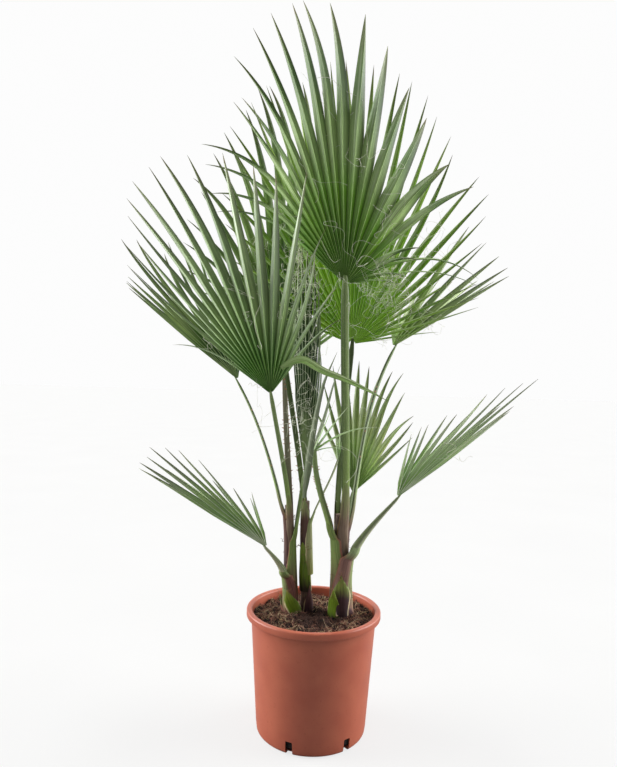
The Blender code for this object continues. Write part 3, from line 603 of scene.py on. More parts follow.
# stem, seat, bearing: where the stalk leaves its stem; width: stalk at its foot and at the hub
# hub, axis, face: where the segments meet, the way the middle one points and the upper side looks
# spread: degrees left and right of the axis; count: segments; reach: lengths from left to right
# cup: degrees that the left and the right margin fold up; sag: bend under gravity, middle, left, right
# split: share of a segment's length at which it comes free; look: finish of the blade
# threads: filaments that hang from the clefts; teeth: thorns on each edge of the stalk
# ribs: fan angle of each segment where they aren't even, with a reach for each
# bend: degrees that the free part of each segment turns aside, or of some with the rest between them
# depth: thickness of the stalk as a share of its width; skin: finish of the stalk
# climb: how straight the stalk makes for its hub from the start
Frond = namedtuple("Frond", "name stem seat bearing width hub axis face spread count reach cup sag "
                            "split look threads teeth ribs bend depth skin climb",
                   defaults=("deep", 6, 0, (), (0,), 0.62, "green", 0.8))
FRONDS = (
    Frond(name="front_high", stem="stem_right", seat=0.362, bearing=-64, width=(0.0165, 0.014),
          hub=(0.0361, -0.070, 0.7859), axis=(0, -0.14, 1), face=(0, 1, 0.1), spread=(50, 84), count=24,
          reach=(0.268, 0.294, 0.324, 0.352, 0.356, 0.353, 0.416, 0.439, 0.449, 0.453, 0.454, 0.443,
                0.425, 0.384, 0.333, 0.303, 0.267, 0.28, 0.15, 0.14, 0.262, 0.12, 0.278, 0.11),
          cup=(10, 20), sag=(0.05, 0.3, 0.5), split=0.58, threads=9,
          ribs=(-47.7, -43.5, -39.2, -35, -30.6, -26.7, -23.2, -19.4, -15.3, -10.8, -7.1, -3, 2.5, 8.5,
                15.6, 25, 35.6, 46, 53.5, 59.5, 65, 70, 74.5, 78.5),
          bend=(-30, -35, -38, -45, -5, -12, -18, -2, -6, -8, -22, -9, -2, -4, -1, -5, 11, 14, 18, 20,
                46, 20, 26, 12)),
    Frond(name="front_left", stem="stem_left", seat=0.372, bearing=-75, width=(0.010, 0.007),
          hub=(-0.0817, -0.100, 0.5973), axis=(-0.20, -0.18, 1), face=(0.25, 1, 0.1), spread=(42, 46),
          count=18,
          reach=(0.22, 0.355, 0.386, 0.361, 0.398, 0.415, 0.423, 0.419, 0.42, 0.399, 0.383, 0.359,
                0.346, 0.354, 0.28, 0.243, 0.212, 0.174),
          cup=(12, 20), sag=(0.03, 0.2, 0.3), split=0.47, look="shaded", threads=5,
          ribs=(-50, -46, -41.7, -37.4, -33.1, -28.6, -23.5, -18.6, -12.9, -7.2, -0.9, 5.7, 11.7, 18.3,
                24.2, 30, 36.4, 43),
          bend=(-20, 9, 15, 14, 7, -1, -7, -9, -9, -5, -1, 4, 1, 0, 4, -17, 6, 15)),
    Frond(name="back_left", stem="stem_left", seat=0.374, bearing=170, width=(0.010, 0.007),
          hub=(-0.1619, 0.120, 0.6212), axis=(-0.79, 0, 0.62), face=(0.6, 0.12, 0.78), spread=(60, 40),
          count=18,
          reach=(0.18, 0.21, 0.24, 0.27, 0.29, 0.31, 0.31, 0.3, 0.28, 0.29, 0.29, 0.311, 0.364, 0.352,
                0.309, 0.31, 0.313, 0.301),
          cup=(35, 30), sag=(0.02, 0.1, 0.1), split=0.45, look="shaded_rear", threads=5, teeth=8,
          ribs=(-56, -49, -42, -35, -28, -21, -14, -7, -1, 4.5, 8, 12, 16.5, 20.2, 24.9, 29.1, 32.6,
                37),
          bend=(20, 20, 20, 15, 10, 10, 15, 20, 30, 45, 34, 45, 60, 60, 54, 29, 20, 17),
          depth=1.0),
    Frond(name="right", stem="stem_right", seat=0.350, bearing=15, width=(0.012, 0.008),
          hub=(0.1522, 0.165, 0.6989), axis=(0.84, 0.08, 0.54), face=(-0.54, 0.12, 0.84),
          spread=(60, 26), count=15, reach=(0.22, 0.32, 0.29, 0.29, 0.28), cup=(35, 30),
          sag=(0.02, 0.1, 0.1), split=0.45, look="side", threads=8, teeth=10, depth=1.15),
    Frond(name="back_right", stem="stem_right", seat=0.358, bearing=120, width=(0.013, 0.010),
          hub=(0.0585, 0.040, 0.6923), axis=(0.12, 0.07, 1), face=(0, -1, 0.3), spread=(80, 76),
          count=29,
          reach=(0.16, 0.225, 0.281, 0.33, 0.379, 0.438, 0.479, 0.504, 0.526, 0.539, 0.548, 0.551,
                0.553, 0.545, 0.535, 0.523, 0.501, 0.465, 0.437, 0.406, 0.393, 0.376, 0.34, 0.301,
                0.228, 0.254, 0.244, 0.238, 0.16),
          cup=(5, 12), sag=(0.05, 0.3, 0.3), split=0.43, look="sunlit", threads=26,
          ribs=(-74, -67.5, -59.6, -52.6, -45.7, -39.8, -34.8, -30.4, -25.9, -21.5, -17, -12.6, -8.2,
                -3.5, 1.1, 5.1, 8.8, 13, 17.5, 21.9, 27.4, 33.1, 39.3, 44.4, 49.6, 55.4, 61.5, 67.6,
                73),
          bend=(0, -3, -2, 0, -2, 1, 0, 1, 2, 4, 3, 0, -3, 1, -1, -1, -1, -2, -3, -6, -4, -5, -7, -6,
                -10, -8, -11, -14, -10)),
    Frond(name="young_spear", stem="stem_middle", seat=0.401, bearing=0, width=(0.012, 0.010),
          hub=(-0.0222, 0.030, 0.4411), axis=(-0.02, -0.10, 1), face=(0.3, 1, 0), spread=(6.5, 6.5),
          count=13,
          reach=(0.27, 0.32, 0.36, 0.4, 0.43, 0.44, 0.44, 0.43, 0.42, 0.38, 0.35, 0.31, 0.28),
          cup=(2, 2), sag=(0, 0.05, 0.05), split=0.66, look="fibrous", threads=10,
          ribs=(-8.7, -7.2, -5.8, -4.3, -2.9, -1.4, 0, 1.4, 2.9, 4.3, 5.8, 7.2, 8.7),
          bend=(26, 24, 14, 9, 6, 2, 0, -3, -7, -10, -16, -22, -26)),
    Frond(name="low_left", stem="stem_left", seat=0.268, bearing=-128, width=(0.021, 0.007),
          hub=(-0.0847, -0.040, 0.3302), axis=(-0.86, -0.05, 0.52), face=(0.5, 0.2, 0.85),
          spread=(50, 40), count=15,
          reach=(0.11, 0.14, 0.17, 0.2, 0.23, 0.25, 0.259, 0.265, 0.26, 0.285, 0.274, 0.254, 0.21,
                0.137, 0.125),
          cup=(35, 35), sag=(0.02, 0.1, 0.1), split=0.42, look="dusty_and_sheen", threads=2,
          ribs=(-46, -38, -30, -22, -14, -6, 0, 5.7, 11.5, 15.8, 19.2, 22, 26, 31.5, 38),
          bend=(0, 0, 0, 0, 0, 5, 12, -18, -18, 35, 32, 28, 1, 0, 12),
          depth=1.0, skin="pale"),
    Frond(name="low_right", stem="stem_right", seat=0.306, bearing=-28, width=(0.028, 0.007),
          hub=(0.1407, -0.026, 0.4208), axis=(0.77, -0.05, 0.63), face=(-0.6, 0.2, 0.75),
          spread=(52, 32), count=13,
          reach=(0.142, 0.169, 0.199, 0.267, 0.291, 0.292, 0.313, 0.257, 0.275, 0.255, 0.225, 0.19,
                0.15),
          cup=(35, 35), sag=(0.02, 0.1, 0.1), split=0.38, look="dusty_and_sheen", threads=2,
          ribs=(-46.4, -39.1, -29.6, -23, -19, -15.2, -11, -5.6, 1, 8, 15, 22, 29),
          bend=(0, -4, -13, -38, -40, -9, 8, 15, 48, 10, 0, 5, 0), depth=1.0, skin="pale"),
    Frond(name="inner_right", stem="stem_right", seat=0.345, bearing=68, width=(0.011, 0.007),
          hub=(0.0744, 0.120, 0.3998), axis=(0.25, 0.28, 1), face=(-0.2, -1, 0.3), spread=(40, 40),
          count=13,
          reach=(0.2, 0.24, 0.27, 0.285, 0.28, 0.27, 0.27, 0.27, 0.272, 0.232, 0.199, 0.187, 0.164),
          cup=(10, 10), sag=(0.05, 0.2, 0.2), split=0.58, look="bright", threads=5, teeth=6,
          ribs=(-36, -29, -23, -17, -11.5, -6.5, -2.4, 1.5, 6, 13.4, 20.6, 27.9, 34.5),
          bend=(0, 0, 3, 0, 5, 4, 11, 16, 13, 2, 14, -7, -6)),
    Frond(name="small", stem="stem_middle", seat=0.360, bearing=-25, width=(0.006, 0.004),
          hub=(0.0370, 0.012, 0.4765), axis=(0.05, 0.02, 1), face=(-0.3, 1, 0), spread=(14, 14),
          count=3, reach=(0.05, 0.055, 0.05), cup=(5, 5), sag=(0, 0.05, 0.05), split=0.5, look="dusty_and_sheen",
          threads=0, skin="pale"),
    Frond(name="inner_left", stem="stem_right", seat=0.338, bearing=198, width=(0.022, 0.007),
          hub=(-0.0097, -0.055, 0.4991), axis=(0.60, -0.03, 1), face=(-0.2, 1, 0.2), spread=(30, 34),
          count=4, reach=(0.1, 0.108, 0.135, 0.065), cup=(5, 5), sag=(0.02, 0.1, 0.3), split=0.15,
          look="dusty_and_sheen", threads=4, teeth=14, ribs=(-9, 3, 25, 44), bend=(0, 6, 32, 20), depth=0.8,
          climb=0.3),
    Frond(name="back_high", stem="stem_middle", seat=0.380, bearing=100, width=(0.011, 0.009),
          hub=(-0.0767, 0.085, 0.7069), axis=(-0.20, 0.17, 1), face=(0, -1, 0.2), spread=(50, 30),
          count=15,
          reach=(0.19, 0.233, 0.266, 0.3, 0.336, 0.377, 0.409, 0.451, 0.49, 0.532, 0.537, 0.537, 0.518,
                0.488, 0.438),
          cup=(10, 5), sag=(0.05, 0.3, 0.2), split=0.46, look="shaded_rear", threads=16, teeth=12,
          ribs=(-47, -40.3, -32.1, -25, -18.1, -12.3, -7.4, -1.5, 3.8, 9.1, 14, 19.9, 25.9, 31.9, 37.9),
          bend=(-8, -10, -9, -8, -5, -25, -11, -15, -18, -20, -27, -23, -24, -26, -24)),
    Frond(name="back", stem="stem_left", seat=0.376, bearing=80, width=(0.012, 0.010),
          hub=(-0.0699, 0.130, 0.6376), axis=(0.05, 0.85, 1), face=(0.1, -1, 0.8), spread=(52, 48),
          count=16, reach=(0.24, 0.30, 0.32, 0.30, 0.24), cup=(15, 15), sag=(0.05, 0.3, 0.3), split=0.5,
          look="shaded_rear", threads=10, teeth=22, skin="old"),
    Frond(name="spear_foot", stem="stem_left", seat=0.330, bearing=-28, width=(0.010, 0.007),
          hub=(-0.0235, -0.008, 0.452), axis=(0.05, -0.03, 1), face=(0.3, 1, 0), spread=(1, 1), count=0,
          reach=(0.1,), cup=(0, 0), sag=(0, 0, 0), split=0.5, threads=0),
)
# The last row is a young stalk with no blade yet
FANS = [frond for frond in FRONDS if frond.count]
print("fans:", len(FANS), "segments:", sum(frond.count for frond in FANS))

# %% The rule's geometry
# As shares of the stalk's width: the hub, the stalk's thickness in the plain solids, and the gap
# between the stem and the middle of the stalk's foot
HUB_SHARE = 1.35
STALK_THICKNESS = 0.62
SEAT_GAP = 0.25 * STALK_THICKNESS
# How much nearer the hub the clefts lie at the margins, and the share of its length by which a
# segment comes free at the latest
MARGIN_CLEFT = 0.4
LATEST_LOOSE = 0.9
RAY_STEPS = 48


def blade_frame(frond):
    """Axis, side and face of the blade; side is the one that points to +X."""
    axis = unit(frond.axis)
    face = square_to(np.array(frond.face, float), axis)
    side = np.cross(axis, face)
    return axis, side * np.sign(side[0]), face


def stem_at(stem, height):
    """Centre and radius of a stem at heights; the radius swells towards the compost."""
    height = np.asarray(height, float)
    share = (height - STEM_FOOT) / (stem.top[2] - STEM_FOOT)
    centre = np.stack([mix(stem.foot[0], stem.top[0], share), mix(stem.foot[1], stem.top[1], share),
                       height], -1)
    swell = np.interp(height - STEM_FOOT, FLARE_RISE, FLARE_SHARE)
    return centre, mix(stem.foot_radius, stem.top_radius, share) * (1 + swell)


def fan_rays(frond, angles, lengths, bend=0.0, loose=0.999):
    """Lines from the hub at fan angles in degrees, as (ray, step, xyz), and their upper-side normals.

    heading = angle + bend * ((t - loose) / (1 - loose))^1.2 beyond the share at which it comes loose
    start = cos(cup) * (cos(heading) * axis + sin(heading) * side) + sin(cup) * face
    direction at t = unit(start - sag * t^2 * up)
    Cup and sag grow from the middle to the margins with (|angle| / spread)^1.5.
    """
    axis, side, face = blade_frame(frond)
    right = angles >= 0
    ease = (np.abs(angles) / np.where(right, frond.spread[1], frond.spread[0])) ** 1.5
    cup = np.radians(np.where(right, frond.cup[1], frond.cup[0]) * ease)[:, None, None]
    sag = mix(frond.sag[0], np.where(right, frond.sag[2], frond.sag[1]), ease)
    t = (np.arange(RAY_STEPS) + 0.5) / RAY_STEPS
    loose = np.broadcast_to(loose, angles.shape)[:, None]
    ramp = np.clip((t - loose) / (1 - loose), 0, 1) ** 1.2
    turn = np.radians(angles[:, None] + np.broadcast_to(bend, angles.shape)[:, None] * ramp)[..., None]
    flat = np.cos(turn) * axis + np.sin(turn) * side
    start = np.cos(cup) * flat + np.sin(cup) * face
    direction = unit(start - (sag[:, None] * t ** 2)[..., None] * UP)
    run = np.cumsum(direction, 1) * (lengths / RAY_STEPS)[:, None, None]
    lines = frond.hub + np.concatenate([np.zeros((len(angles), 1, 3)), run], 1)
    above = np.cos(cup) * face - np.sin(cup) * flat[:, :1]
    return lines, square_to(np.broadcast_to(above, lines.shape), unit(np.gradient(lines, axis=1)))


def sample(lines, shares):
    """Values of each line at shares of its length, between its steps."""
    places = np.clip(shares, 0, 1) * (lines.shape[1] - 1)
    low = np.minimum(places.astype(int), lines.shape[1] - 2)
    first = np.take_along_axis(lines, low[..., None], 1)
    second = np.take_along_axis(lines, low[..., None] + 1, 1)
    return mix(first, second, (places - low)[..., None])


def reach_at(frond, angles):
    """Length of a segment at a fan angle, between the frond's own values."""
    marks = np.linspace(-frond.spread[0], frond.spread[1], len(frond.reach))
    return np.interp(angles, marks, frond.reach)


print("sides of the front fan:", [np.round(v, 2).tolist() for v in blade_frame(FRONDS[0])])

# %% [markdown]
# ## Blade finishes
# A living palm blade has a thick waxy skin: green, satin, with fine veins that run with the segment
# and a pale midrib. The colour is deep near the hub and greyer towards the tips: partly the leaf's own,
# partly painted shade at the hub and painted sheen further out. Each frond has one of a few greens,
# some of them lighter and darker copies for painted light and shade, and the dry tips are a finish of
# their own, given by face.

# %% Blade finishes


def blade_finish(name, shades, rib, flank_sheen, roughness=0.45, cover=1.0, flank_shade=0.13):
    """Waxy leaf with a pale midrib, painted shade in its folds and a painted grey sheen on one flank.

    shades: colours at the hub, at a third, at a half and at three quarters of the length;
    cover: how much of the flank the painted sheen hides; flank_shade: how far the two flanks differ in
    value, as painted light on one and painted shade on the other
    """
    material, tree, shader = finish("waxy_leaf_" + name, roughness, ior=1.4)
    _, across, along = on_surface(tree)
    tone = add(tree, "Attribute", out="Fac", attribute_name="tone")
    place = add(tree, "CombineXYZ", {0: across, 1: along, 2: tone})
    # From the hub outwards the green goes from deep to greyer: partly own colour, partly painted shade
    # and sheen
    green = shades[0]
    for shade, low, high in zip(shades[1:], (0.16, 0.34, 0.58), (0.36, 0.50, 0.74)):
        green = layer(tree, green, shade, along, low, high)
    # Painted sheen: a grey sheen lies on one flank of each fold, in streaks a few millimetres wide
    streak = grain(tree, 1.0, (1 / 6, 1 / 2, 1 / 9), 2.0, place)
    masks = ((streak, 0.28, 0.56, 1.0), (across, 0.47, 0.34, 1.0), (across, 0.0, 0.16, 1.0),
             (along, 0.12, 0.50, cover))
    sheen_share = product(tree, *[add(tree, "MapRange", {0: part, 1: low, 2: high, 4: most})
                          for part, low, high, most in masks])
    green = add(tree, "Mix", {0: sheen_share, 6: green, 7: flank_sheen}, 2, data_type="RGBA")
    # Veins lie about 1 mm apart, 30 to a segment's width, and run its whole length. They and the
    # segment's own tone make it darker or lighter by up to a third
    vein = grain(tree, 1.0, (1 / 34, 1 / 3, 1 / 9), 2.0, place)
    value = add(tree, "MapRange", {0: vein, 1: 0.30, 2: 0.70, 3: 0.60, 4: 1.40})
    own = add(tree, "MapRange", {0: tone, 1: 0, 2: 0.8, 3: 0.80, 4: 1.20})
    # Painted light and shade: one flank is lighter, the other darker and darkest where it runs into the
    # fold
    fold_shade = add(tree, "MapRange", {0: across, 1: 0.74, 2: 1.0, 3: 1.0, 4: 0.42})
    lit_and_shaded_flanks = add(tree, "MapRange", {0: across, 1: 0.50, 2: 0.56, 3: 1 + flank_shade, 4: 1 - flank_shade})
    value = product(tree, value, own, fold_shade, lit_and_shaded_flanks)
    hue = add(tree, "MapRange", {0: tone, 1: 0, 2: 0.8, 3: 0.508, 4: 0.492})
    green = add(tree, "HueSaturation", {"Hue": hue, "Value": value, "Color": green})
    # The last fifth dries out: brown comes into the green
    green = layer(tree, green, "7C7850", along, 0.80, 1.0, 0.7)
    # The midrib is as wide at the hub as at the tip, so there it takes a larger share of the width
    off = add(tree, "Math", {0: off_middle(tree, across), 1: along}, operation="MULTIPLY")
    line = add(tree, "MapRange", {0: off, 1: 0.012, 2: 0.004})
    near = add(tree, "MapRange", {0: along, 1: 0.02, 2: 0.12, 3: 0.3, 4: 1})
    line = add(tree, "Math", {0: line, 1: near}, operation="MULTIPLY")
    # A finer line marks the seam between two segments, as far as they are joined
    seam = add(tree, "Math", {0: along, 1: 0.5}, operation="MULTIPLY")
    seam = add(tree, "Math", {0: seam, 1: off}, operation="SUBTRACT")
    seam = add(tree, "MapRange", {0: seam, 1: 0.009, 2: 0.003, 4: 0.8})
    inside = add(tree, "MapRange", {0: along, 1: 0.60, 2: 0.45})
    seam = product(tree, seam, inside, near)
    line = add(tree, "Math", {0: line, 1: seam}, operation="MAXIMUM")
    green = add(tree, "Mix", {0: line, 6: green, 7: rib}, 2, data_type="RGBA")
    # The veins are flatter towards the tip
    relief = add(tree, "MapRange", {0: along, 1: 0.5, 2: 0.85, 3: 0.5, 4: 0.1})
    coat(tree, shader, green, vein, relief, 0.25 * MM)
    return material


# Colours at the four shares of the length, of the midrib and of the painted flank sheen. The sunlit
# greens are a lighter copy for painted back light, shaded and shaded_rear darker copies for painted
# shade, and dusty_and_sheen is pale partly from its own grey and partly as painted sheen
blade_finishes = {
    name: blade_finish(name, shades, rib, flank_sheen, **more) for name, shades, rib, flank_sheen, more in (
        ("deep", ("447408", "78AC38", "A0BE78", "58783A"), "B4CC8C", "C4D2B0", {"cover": 0.45}),
        ("shaded_rear", ("1E4A06", "4E7224", "94B068", "90AA70"), "B4CC8C", "C4D2B0", {"cover": 0.6}),
        ("shaded", ("407612", "8CAC66", "90AA72", "829868"), "AECB8C", "C0CEB4", {"flank_shade": 0.3}),
        ("sunlit", ("7AB600", "8EC228", "8EBC44", "9EC25C"), "C6DE8A", "C8D8A8", {}),
        ("side", ("789C3A", "96B26A", "9EB678", "BACC9C"), "CCE0A4", "D4E2BC", {}),
        ("bright", ("527A14", "A2C46C", "B4C482", "A0B478"), "CCE0A4", "D4E2BC", {}),
        ("dusty_and_sheen", ("7CA850", "98C070", "A4C47C", "A8B890"), "E8F0D8", "CCD8BC", {"cover": 0.7}),
        ("fibrous", ("A8BC8C", "3A5230", "425C38", "4C6434"), "A8B48C", "B4BEA2", {"roughness": 0.55}),
        ("silver", ("8C9C78", "98A888", "A4B294", "A4B294"), "C4CEB4", "CCD4C0", {"roughness": 0.5}),
        ("pale", ("93AE70", "8CB062", "86A85A", "86A85A"), "BCCC94", "C8D6A8", {"roughness": 0.5}))
}
# Dead tissue at the tips: dry, matt and tan
dry_tip = mottled("dry_leaf_tip", 0.75, 5 * MM, "6E6A4C", "8C8760")
print("blade finishes:", len(blade_finishes) + 1)

# %% [markdown]
# ## Blades
# The segments of a fan are joined for about half their length and free beyond it. Each is folded
# along its midrib, which stands out below. It could be a flat plane with a picture of a leaf on it;
# here each segment is a thin closed strip, so that its fold catches the light from every side.

# %% One fan's segments
BLADE_ROWS = 32
BLADE_THICKNESS = 0.0006
KEEL = 0.0009
# Thickness at the tip as a share of that up to the cleft
TIP_THICKNESS = 0.25
# How far the edges rise and the midrib sinks, as a share of the segment's width
FOLD = 0.24
# Each half of a segment sags between midrib and edge, by this times x (1 - x) of its width
SAG_BETWEEN = 0.22
# Distance of the first row from the hub, as a share of the hub's size
ROOT_SHARE = 0.45
# Rows lie closer towards the tip: 0 for even ones, 1 for 1 - (1 - step)^2
ROW_EASE = 0.4
# How much chance moves: seams and clefts by a share of the gap and of their depth, lengths by a
# share, tips sideways in degrees, and how far a free part rolls, in radians
SEAM_CHANCE = 0.12
CLEFT_CHANCE = 0.1
LENGTH_CHANCE = 0.035
BEND_CHANCE = 2.5
ROLL_CHANCE = 0.35
# Places across a segment of the points of its section
COLUMNS = np.array([-1, -0.55, -0.1, 0, 0.1, 0.55, 1])
# For each fan: where its segments part and which way the seams run there
clefts = {}


def loose_width(q):
    """Width of a free segment as a share of that at its cleft: (1 - q)^0.8 (1 + 0.2 q)."""
    return np.maximum((1 - q) ** 0.8 * (1 + 0.2 * q), 0.012)


def turn_about(first, second, angle):
    """Two square vectors turned in their own plane by an angle in radians."""
    c, s = np.cos(angle)[..., None], np.sin(angle)[..., None]
    return first * c + second * s, second * c - first * s


def lay_out(frond, rng):
    """Fan angles of the segments and of the seams between them, and the segments' lengths.

    A seam lies midway between two ribs; the outer ones lie half a gap beyond the last ribs.
    """
    if frond.ribs:
        ribs = np.array(frond.ribs, float)
        middle = (ribs[:-1] + ribs[1:]) / 2
        seams = np.concatenate([[2 * ribs[0] - middle[0]], middle, [2 * ribs[-1] - middle[-1]]])
        return ribs, seams, np.array(frond.reach)
    seams = np.linspace(-frond.spread[0], frond.spread[1], frond.count + 1)
    seams[1:-1] += rng.uniform(-SEAM_CHANCE, SEAM_CHANCE, frond.count - 1) * (seams[1] - seams[0])
    ribs = (seams[:-1] + seams[1:]) / 2
    wild = LENGTH_CHANCE if frond.count > 5 else 0.0
    return ribs, seams, reach_at(frond, ribs) * (1 + rng.uniform(-wild, wild, frond.count))


def segments(frond, rng):
    """Rings, places on the surface and tones of a fan's segments.

    Joined, a segment's edges are the seam rays between it and its neighbours, lifted by the fold, and
    its midrib is its own ray, lowered by it. Beyond the cleft the edges keep the offset that they had
    there, times the free width, in the frame of the midrib's own line, which may bend and roll.
    """
    ribs, seams, lengths = lay_out(frond, rng)
    gap = np.radians(np.diff(seams))
    padded = np.concatenate([lengths[:1], lengths, lengths[-1:]])
    shorter = np.minimum(padded[:-1], padded[1:])
    x = np.linspace(-1, 1, frond.count + 1)
    cleft = frond.split * (1 - MARGIN_CLEFT * x ** 2) * shorter
    cleft = cleft * (1 + rng.uniform(-CLEFT_CHANCE, CLEFT_CHANCE, frond.count + 1))
    marks = np.linspace(0, frond.count - 1, len(frond.bend))
    bend = np.interp(np.arange(frond.count), marks, frond.bend)
    bend = bend + rng.normal(0, BEND_CHANCE, frond.count)
    loose = np.minimum(np.maximum(cleft[:-1], cleft[1:]) / lengths, LATEST_LOOSE)
    lines, above = fan_rays(frond, ribs, lengths, bend, loose)
    seam_lengths = (padded[:-1] + padded[1:]) / 2
    seam_lines, seam_above = fan_rays(frond, seams, seam_lengths)
    root = ROOT_SHARE * HUB_SHARE * frond.width[1]
    step = np.linspace(0, 1, BLADE_ROWS)
    shares = mix((root / lengths)[:, None], 1, mix(step, 1 - (1 - step) ** 2, ROW_EASE))
    radius = shares * lengths[:, None]
    run = unit(np.gradient(lines, axis=1))
    seam_gap = np.radians(np.gradient(seams))
    spare = np.clip((shares - loose[:, None]) / (1 - loose[:, None]), 0, 1)
    roll = rng.normal(0, ROLL_CHANCE, frond.count)[:, None] * spare

    def on_seam(number, far):
        """Points of the numbered seams at distances from the hub, lifted by the fold."""
        at = far / seam_lengths[number][:, None]
        lift = (FOLD * seam_gap[number][:, None] * far)[..., None]
        return sample(seam_lines[number], at) + sample(seam_above[number], at) * lift

    sides = []
    for number in (np.arange(frond.count), np.arange(1, frond.count + 1)):
        at = (cleft[number] / lengths)[:, None]
        q = np.clip((shares - at) / (1 - at), 0, 1)
        offset = on_seam(number, cleft[number][:, None]) - sample(lines, at)
        normal_at = sample(above, at)
        run_at = unit(sample(run, at))
        axes = (run_at, np.cross(run_at, normal_at), normal_at)
        parts = [(offset * v).sum(-1, keepdims=True) for v in axes]
        sides.append((on_seam(number, radius), q, parts))
    normal = unit(sample(above, shares))
    forward = unit(sample(run, shares))
    across = np.cross(forward, normal)
    across, normal = turn_about(across, normal, roll)
    centre = sample(lines, shares)
    worst = np.maximum(sides[0][1], sides[1][1])
    sink = np.where(worst > 0, FOLD * gap[:, None] * (loose * lengths)[:, None] * loose_width(worst),
                    FOLD * gap[:, None] * radius)
    sink = np.minimum(sink, FOLD * gap[:, None] * radius)
    midrib = centre - normal * sink[..., None]
    edges = []
    for joined, q, parts in sides:
        width = loose_width(q)[..., None]
        free = centre + (forward * parts[0] + across * parts[1] + normal * parts[2]) * width
        edges.append(np.where(q[..., None] > 0, free, joined))
    clefts[frond.name] = seam_at_clefts(seam_lines, seam_lengths, cleft)
    rings, uv = folded(midrib, edges, normal, mix(1, TIP_THICKNESS, worst), shares)
    return rings, uv, rng.uniform(0, 1, frond.count)


def folded(midrib, edges, normal, fade, shares):
    """Rings of segments from their midribs and left and right edges, and places on their surface.

    Each is thinner by the fade towards its tip, and a keel runs below the midrib.
    """
    midrib, normal, fade = midrib[:, :, None], normal[:, :, None], fade[..., None, None]
    share = np.abs(COLUMNS)[:, None]
    edge = np.where(COLUMNS[:, None] < 0, edges[0][:, :, None], edges[1][:, :, None])
    half = np.linalg.norm(edge - midrib, axis=-1, keepdims=True)
    strip = mix(midrib, edge, share) - normal * half * SAG_BETWEEN * share * (1 - share)
    thick = normal * BLADE_THICKNESS / 2 * fade
    keel = (normal * KEEL * fade) * (share == 0)
    return closed(strip + thick, strip - thick - keel, COLUMNS, shares[..., None])


def seam_at_clefts(seam_lines, seam_lengths, cleft):
    """Point of each seam at which its two segments part, and the way it runs there."""
    share = (cleft / seam_lengths)[:, None]
    run = unit(np.gradient(seam_lines, axis=1))
    return sample(seam_lines, share)[:, 0], unit(sample(run, share)[:, 0])


print("width of a free part half way to its tip:", round(float(loose_width(0.5)), 3))

# %% All fans
rng = np.random.default_rng(29)
for frond in FANS:
    rings, uv, tone = segments(frond, rng)
    # The last row or two of a segment are dry, or none
    start = BLADE_ROWS - 1 - rng.integers(0, 3, frond.count)[:, None]
    dry = (np.arange(BLADE_ROWS - 1) >= start).astype(int)
    piece("fan_" + frond.name, rings, [blade_finishes[frond.look], dry_tip], "frond",
          ["frond_" + frond.name], sharp=32, deal=dry, uv=uv, tone=tone[:, None, None] * 0.8)
print("fans:", len(FANS))

# %% Bent leaflets
LEAFLET_DEPTH = 0.22
# name, finish, width in metres, way that the upper side looks, frond solid that it replaces, corners
# of its line
LEAFLETS = (
    ("strap_bent", "pale", 0.0145, (0, -1, 0.5), "front_left_strap",
     ((-0.066, -0.108, 0.640), (-0.050, -0.110, 0.652), (-0.031, -0.112, 0.657),
      (-0.016, -0.112, 0.648), (0.002, -0.112, 0.637), (0.038, -0.112, 0.625),
      (0.076, -0.110, 0.608), (0.108, -0.108, 0.592))),
    ("leaflet_silver", "silver", 0.0125, (0.2, -1, 0), None,
     ((-0.023, -0.005, 0.410), (-0.019, -0.012, 0.453), (-0.012, -0.020, 0.516),
      (-0.004, -0.030, 0.570), (0.006, -0.035, 0.620), (0.028, -0.035, 0.673))),
    ("leaflet_inner", "silver", 0.0080, (-0.3, -1, 0), None,
     ((-0.020, 0.000, 0.425), (-0.009, 0.000, 0.493), (0.011, 0.000, 0.560),
      (0.024, 0.000, 0.615), (0.037, 0.010, 0.653))),
)


def leaflet_rings(corners, face, width):
    """Rings of one folded leaflet along a line with rounded corners, and places on its surface.

    width at t = width * (0.5 + 0.5 * smooth(t / 0.15)) * (1 - t^2.2)
    """
    corners = np.array(corners)
    length = np.concatenate([[0], np.cumsum(np.linalg.norm(np.diff(corners, axis=0), axis=1))])
    t = np.linspace(0, 1, BLADE_ROWS)
    line = between(t * length[-1], length, corners)
    for _ in range(3):
        line[1:-1] = (line[:-2] + 2 * line[1:-1] + line[2:]) / 4
    run = unit(np.gradient(line, axis=0))
    normal = square_to(np.array(face, float), run)
    half = width / 2 * (0.5 + 0.5 * smooth(0, 0.15, t)) * np.maximum(1 - t ** 2.2, 0.02)
    across = np.cross(run, normal)[:, None] * COLUMNS[:, None] * half[:, None, None]
    sink = normal[:, None] * ((1 - np.abs(COLUMNS)) * LEAFLET_DEPTH)[:, None] * 2 * half[:, None, None]
    strip = line[:, None] + across - sink
    thick = normal[:, None] * BLADE_THICKNESS / 2
    rings, uv = closed(strip + thick, strip - thick, COLUMNS, 0.2 + 0.7 * t[:, None])
    return rings[None], uv[None]


for name, look, width, face, node, corners in LEAFLETS:
    rings, uv = leaflet_rings(corners, face, width)
    solid = ["frond_" + node] if node else ()
    piece(name, rings, [blade_finishes[look]], "frond", solid, uv=uv, tone=0.5)
print("bent leaflets:", len(LEAFLETS))

# %% [markdown]
# ## Stalks
# A stalk, or petiole, is a tough green limb, grooved above and round below, with thorns along its
# edges on the older leaves. Its line is a curve from its seat on the stem to the hub. A ring carried
# along it could be a plain oval; the groove and the sharp edges are what the eye knows it by.

# %% Stalk finishes


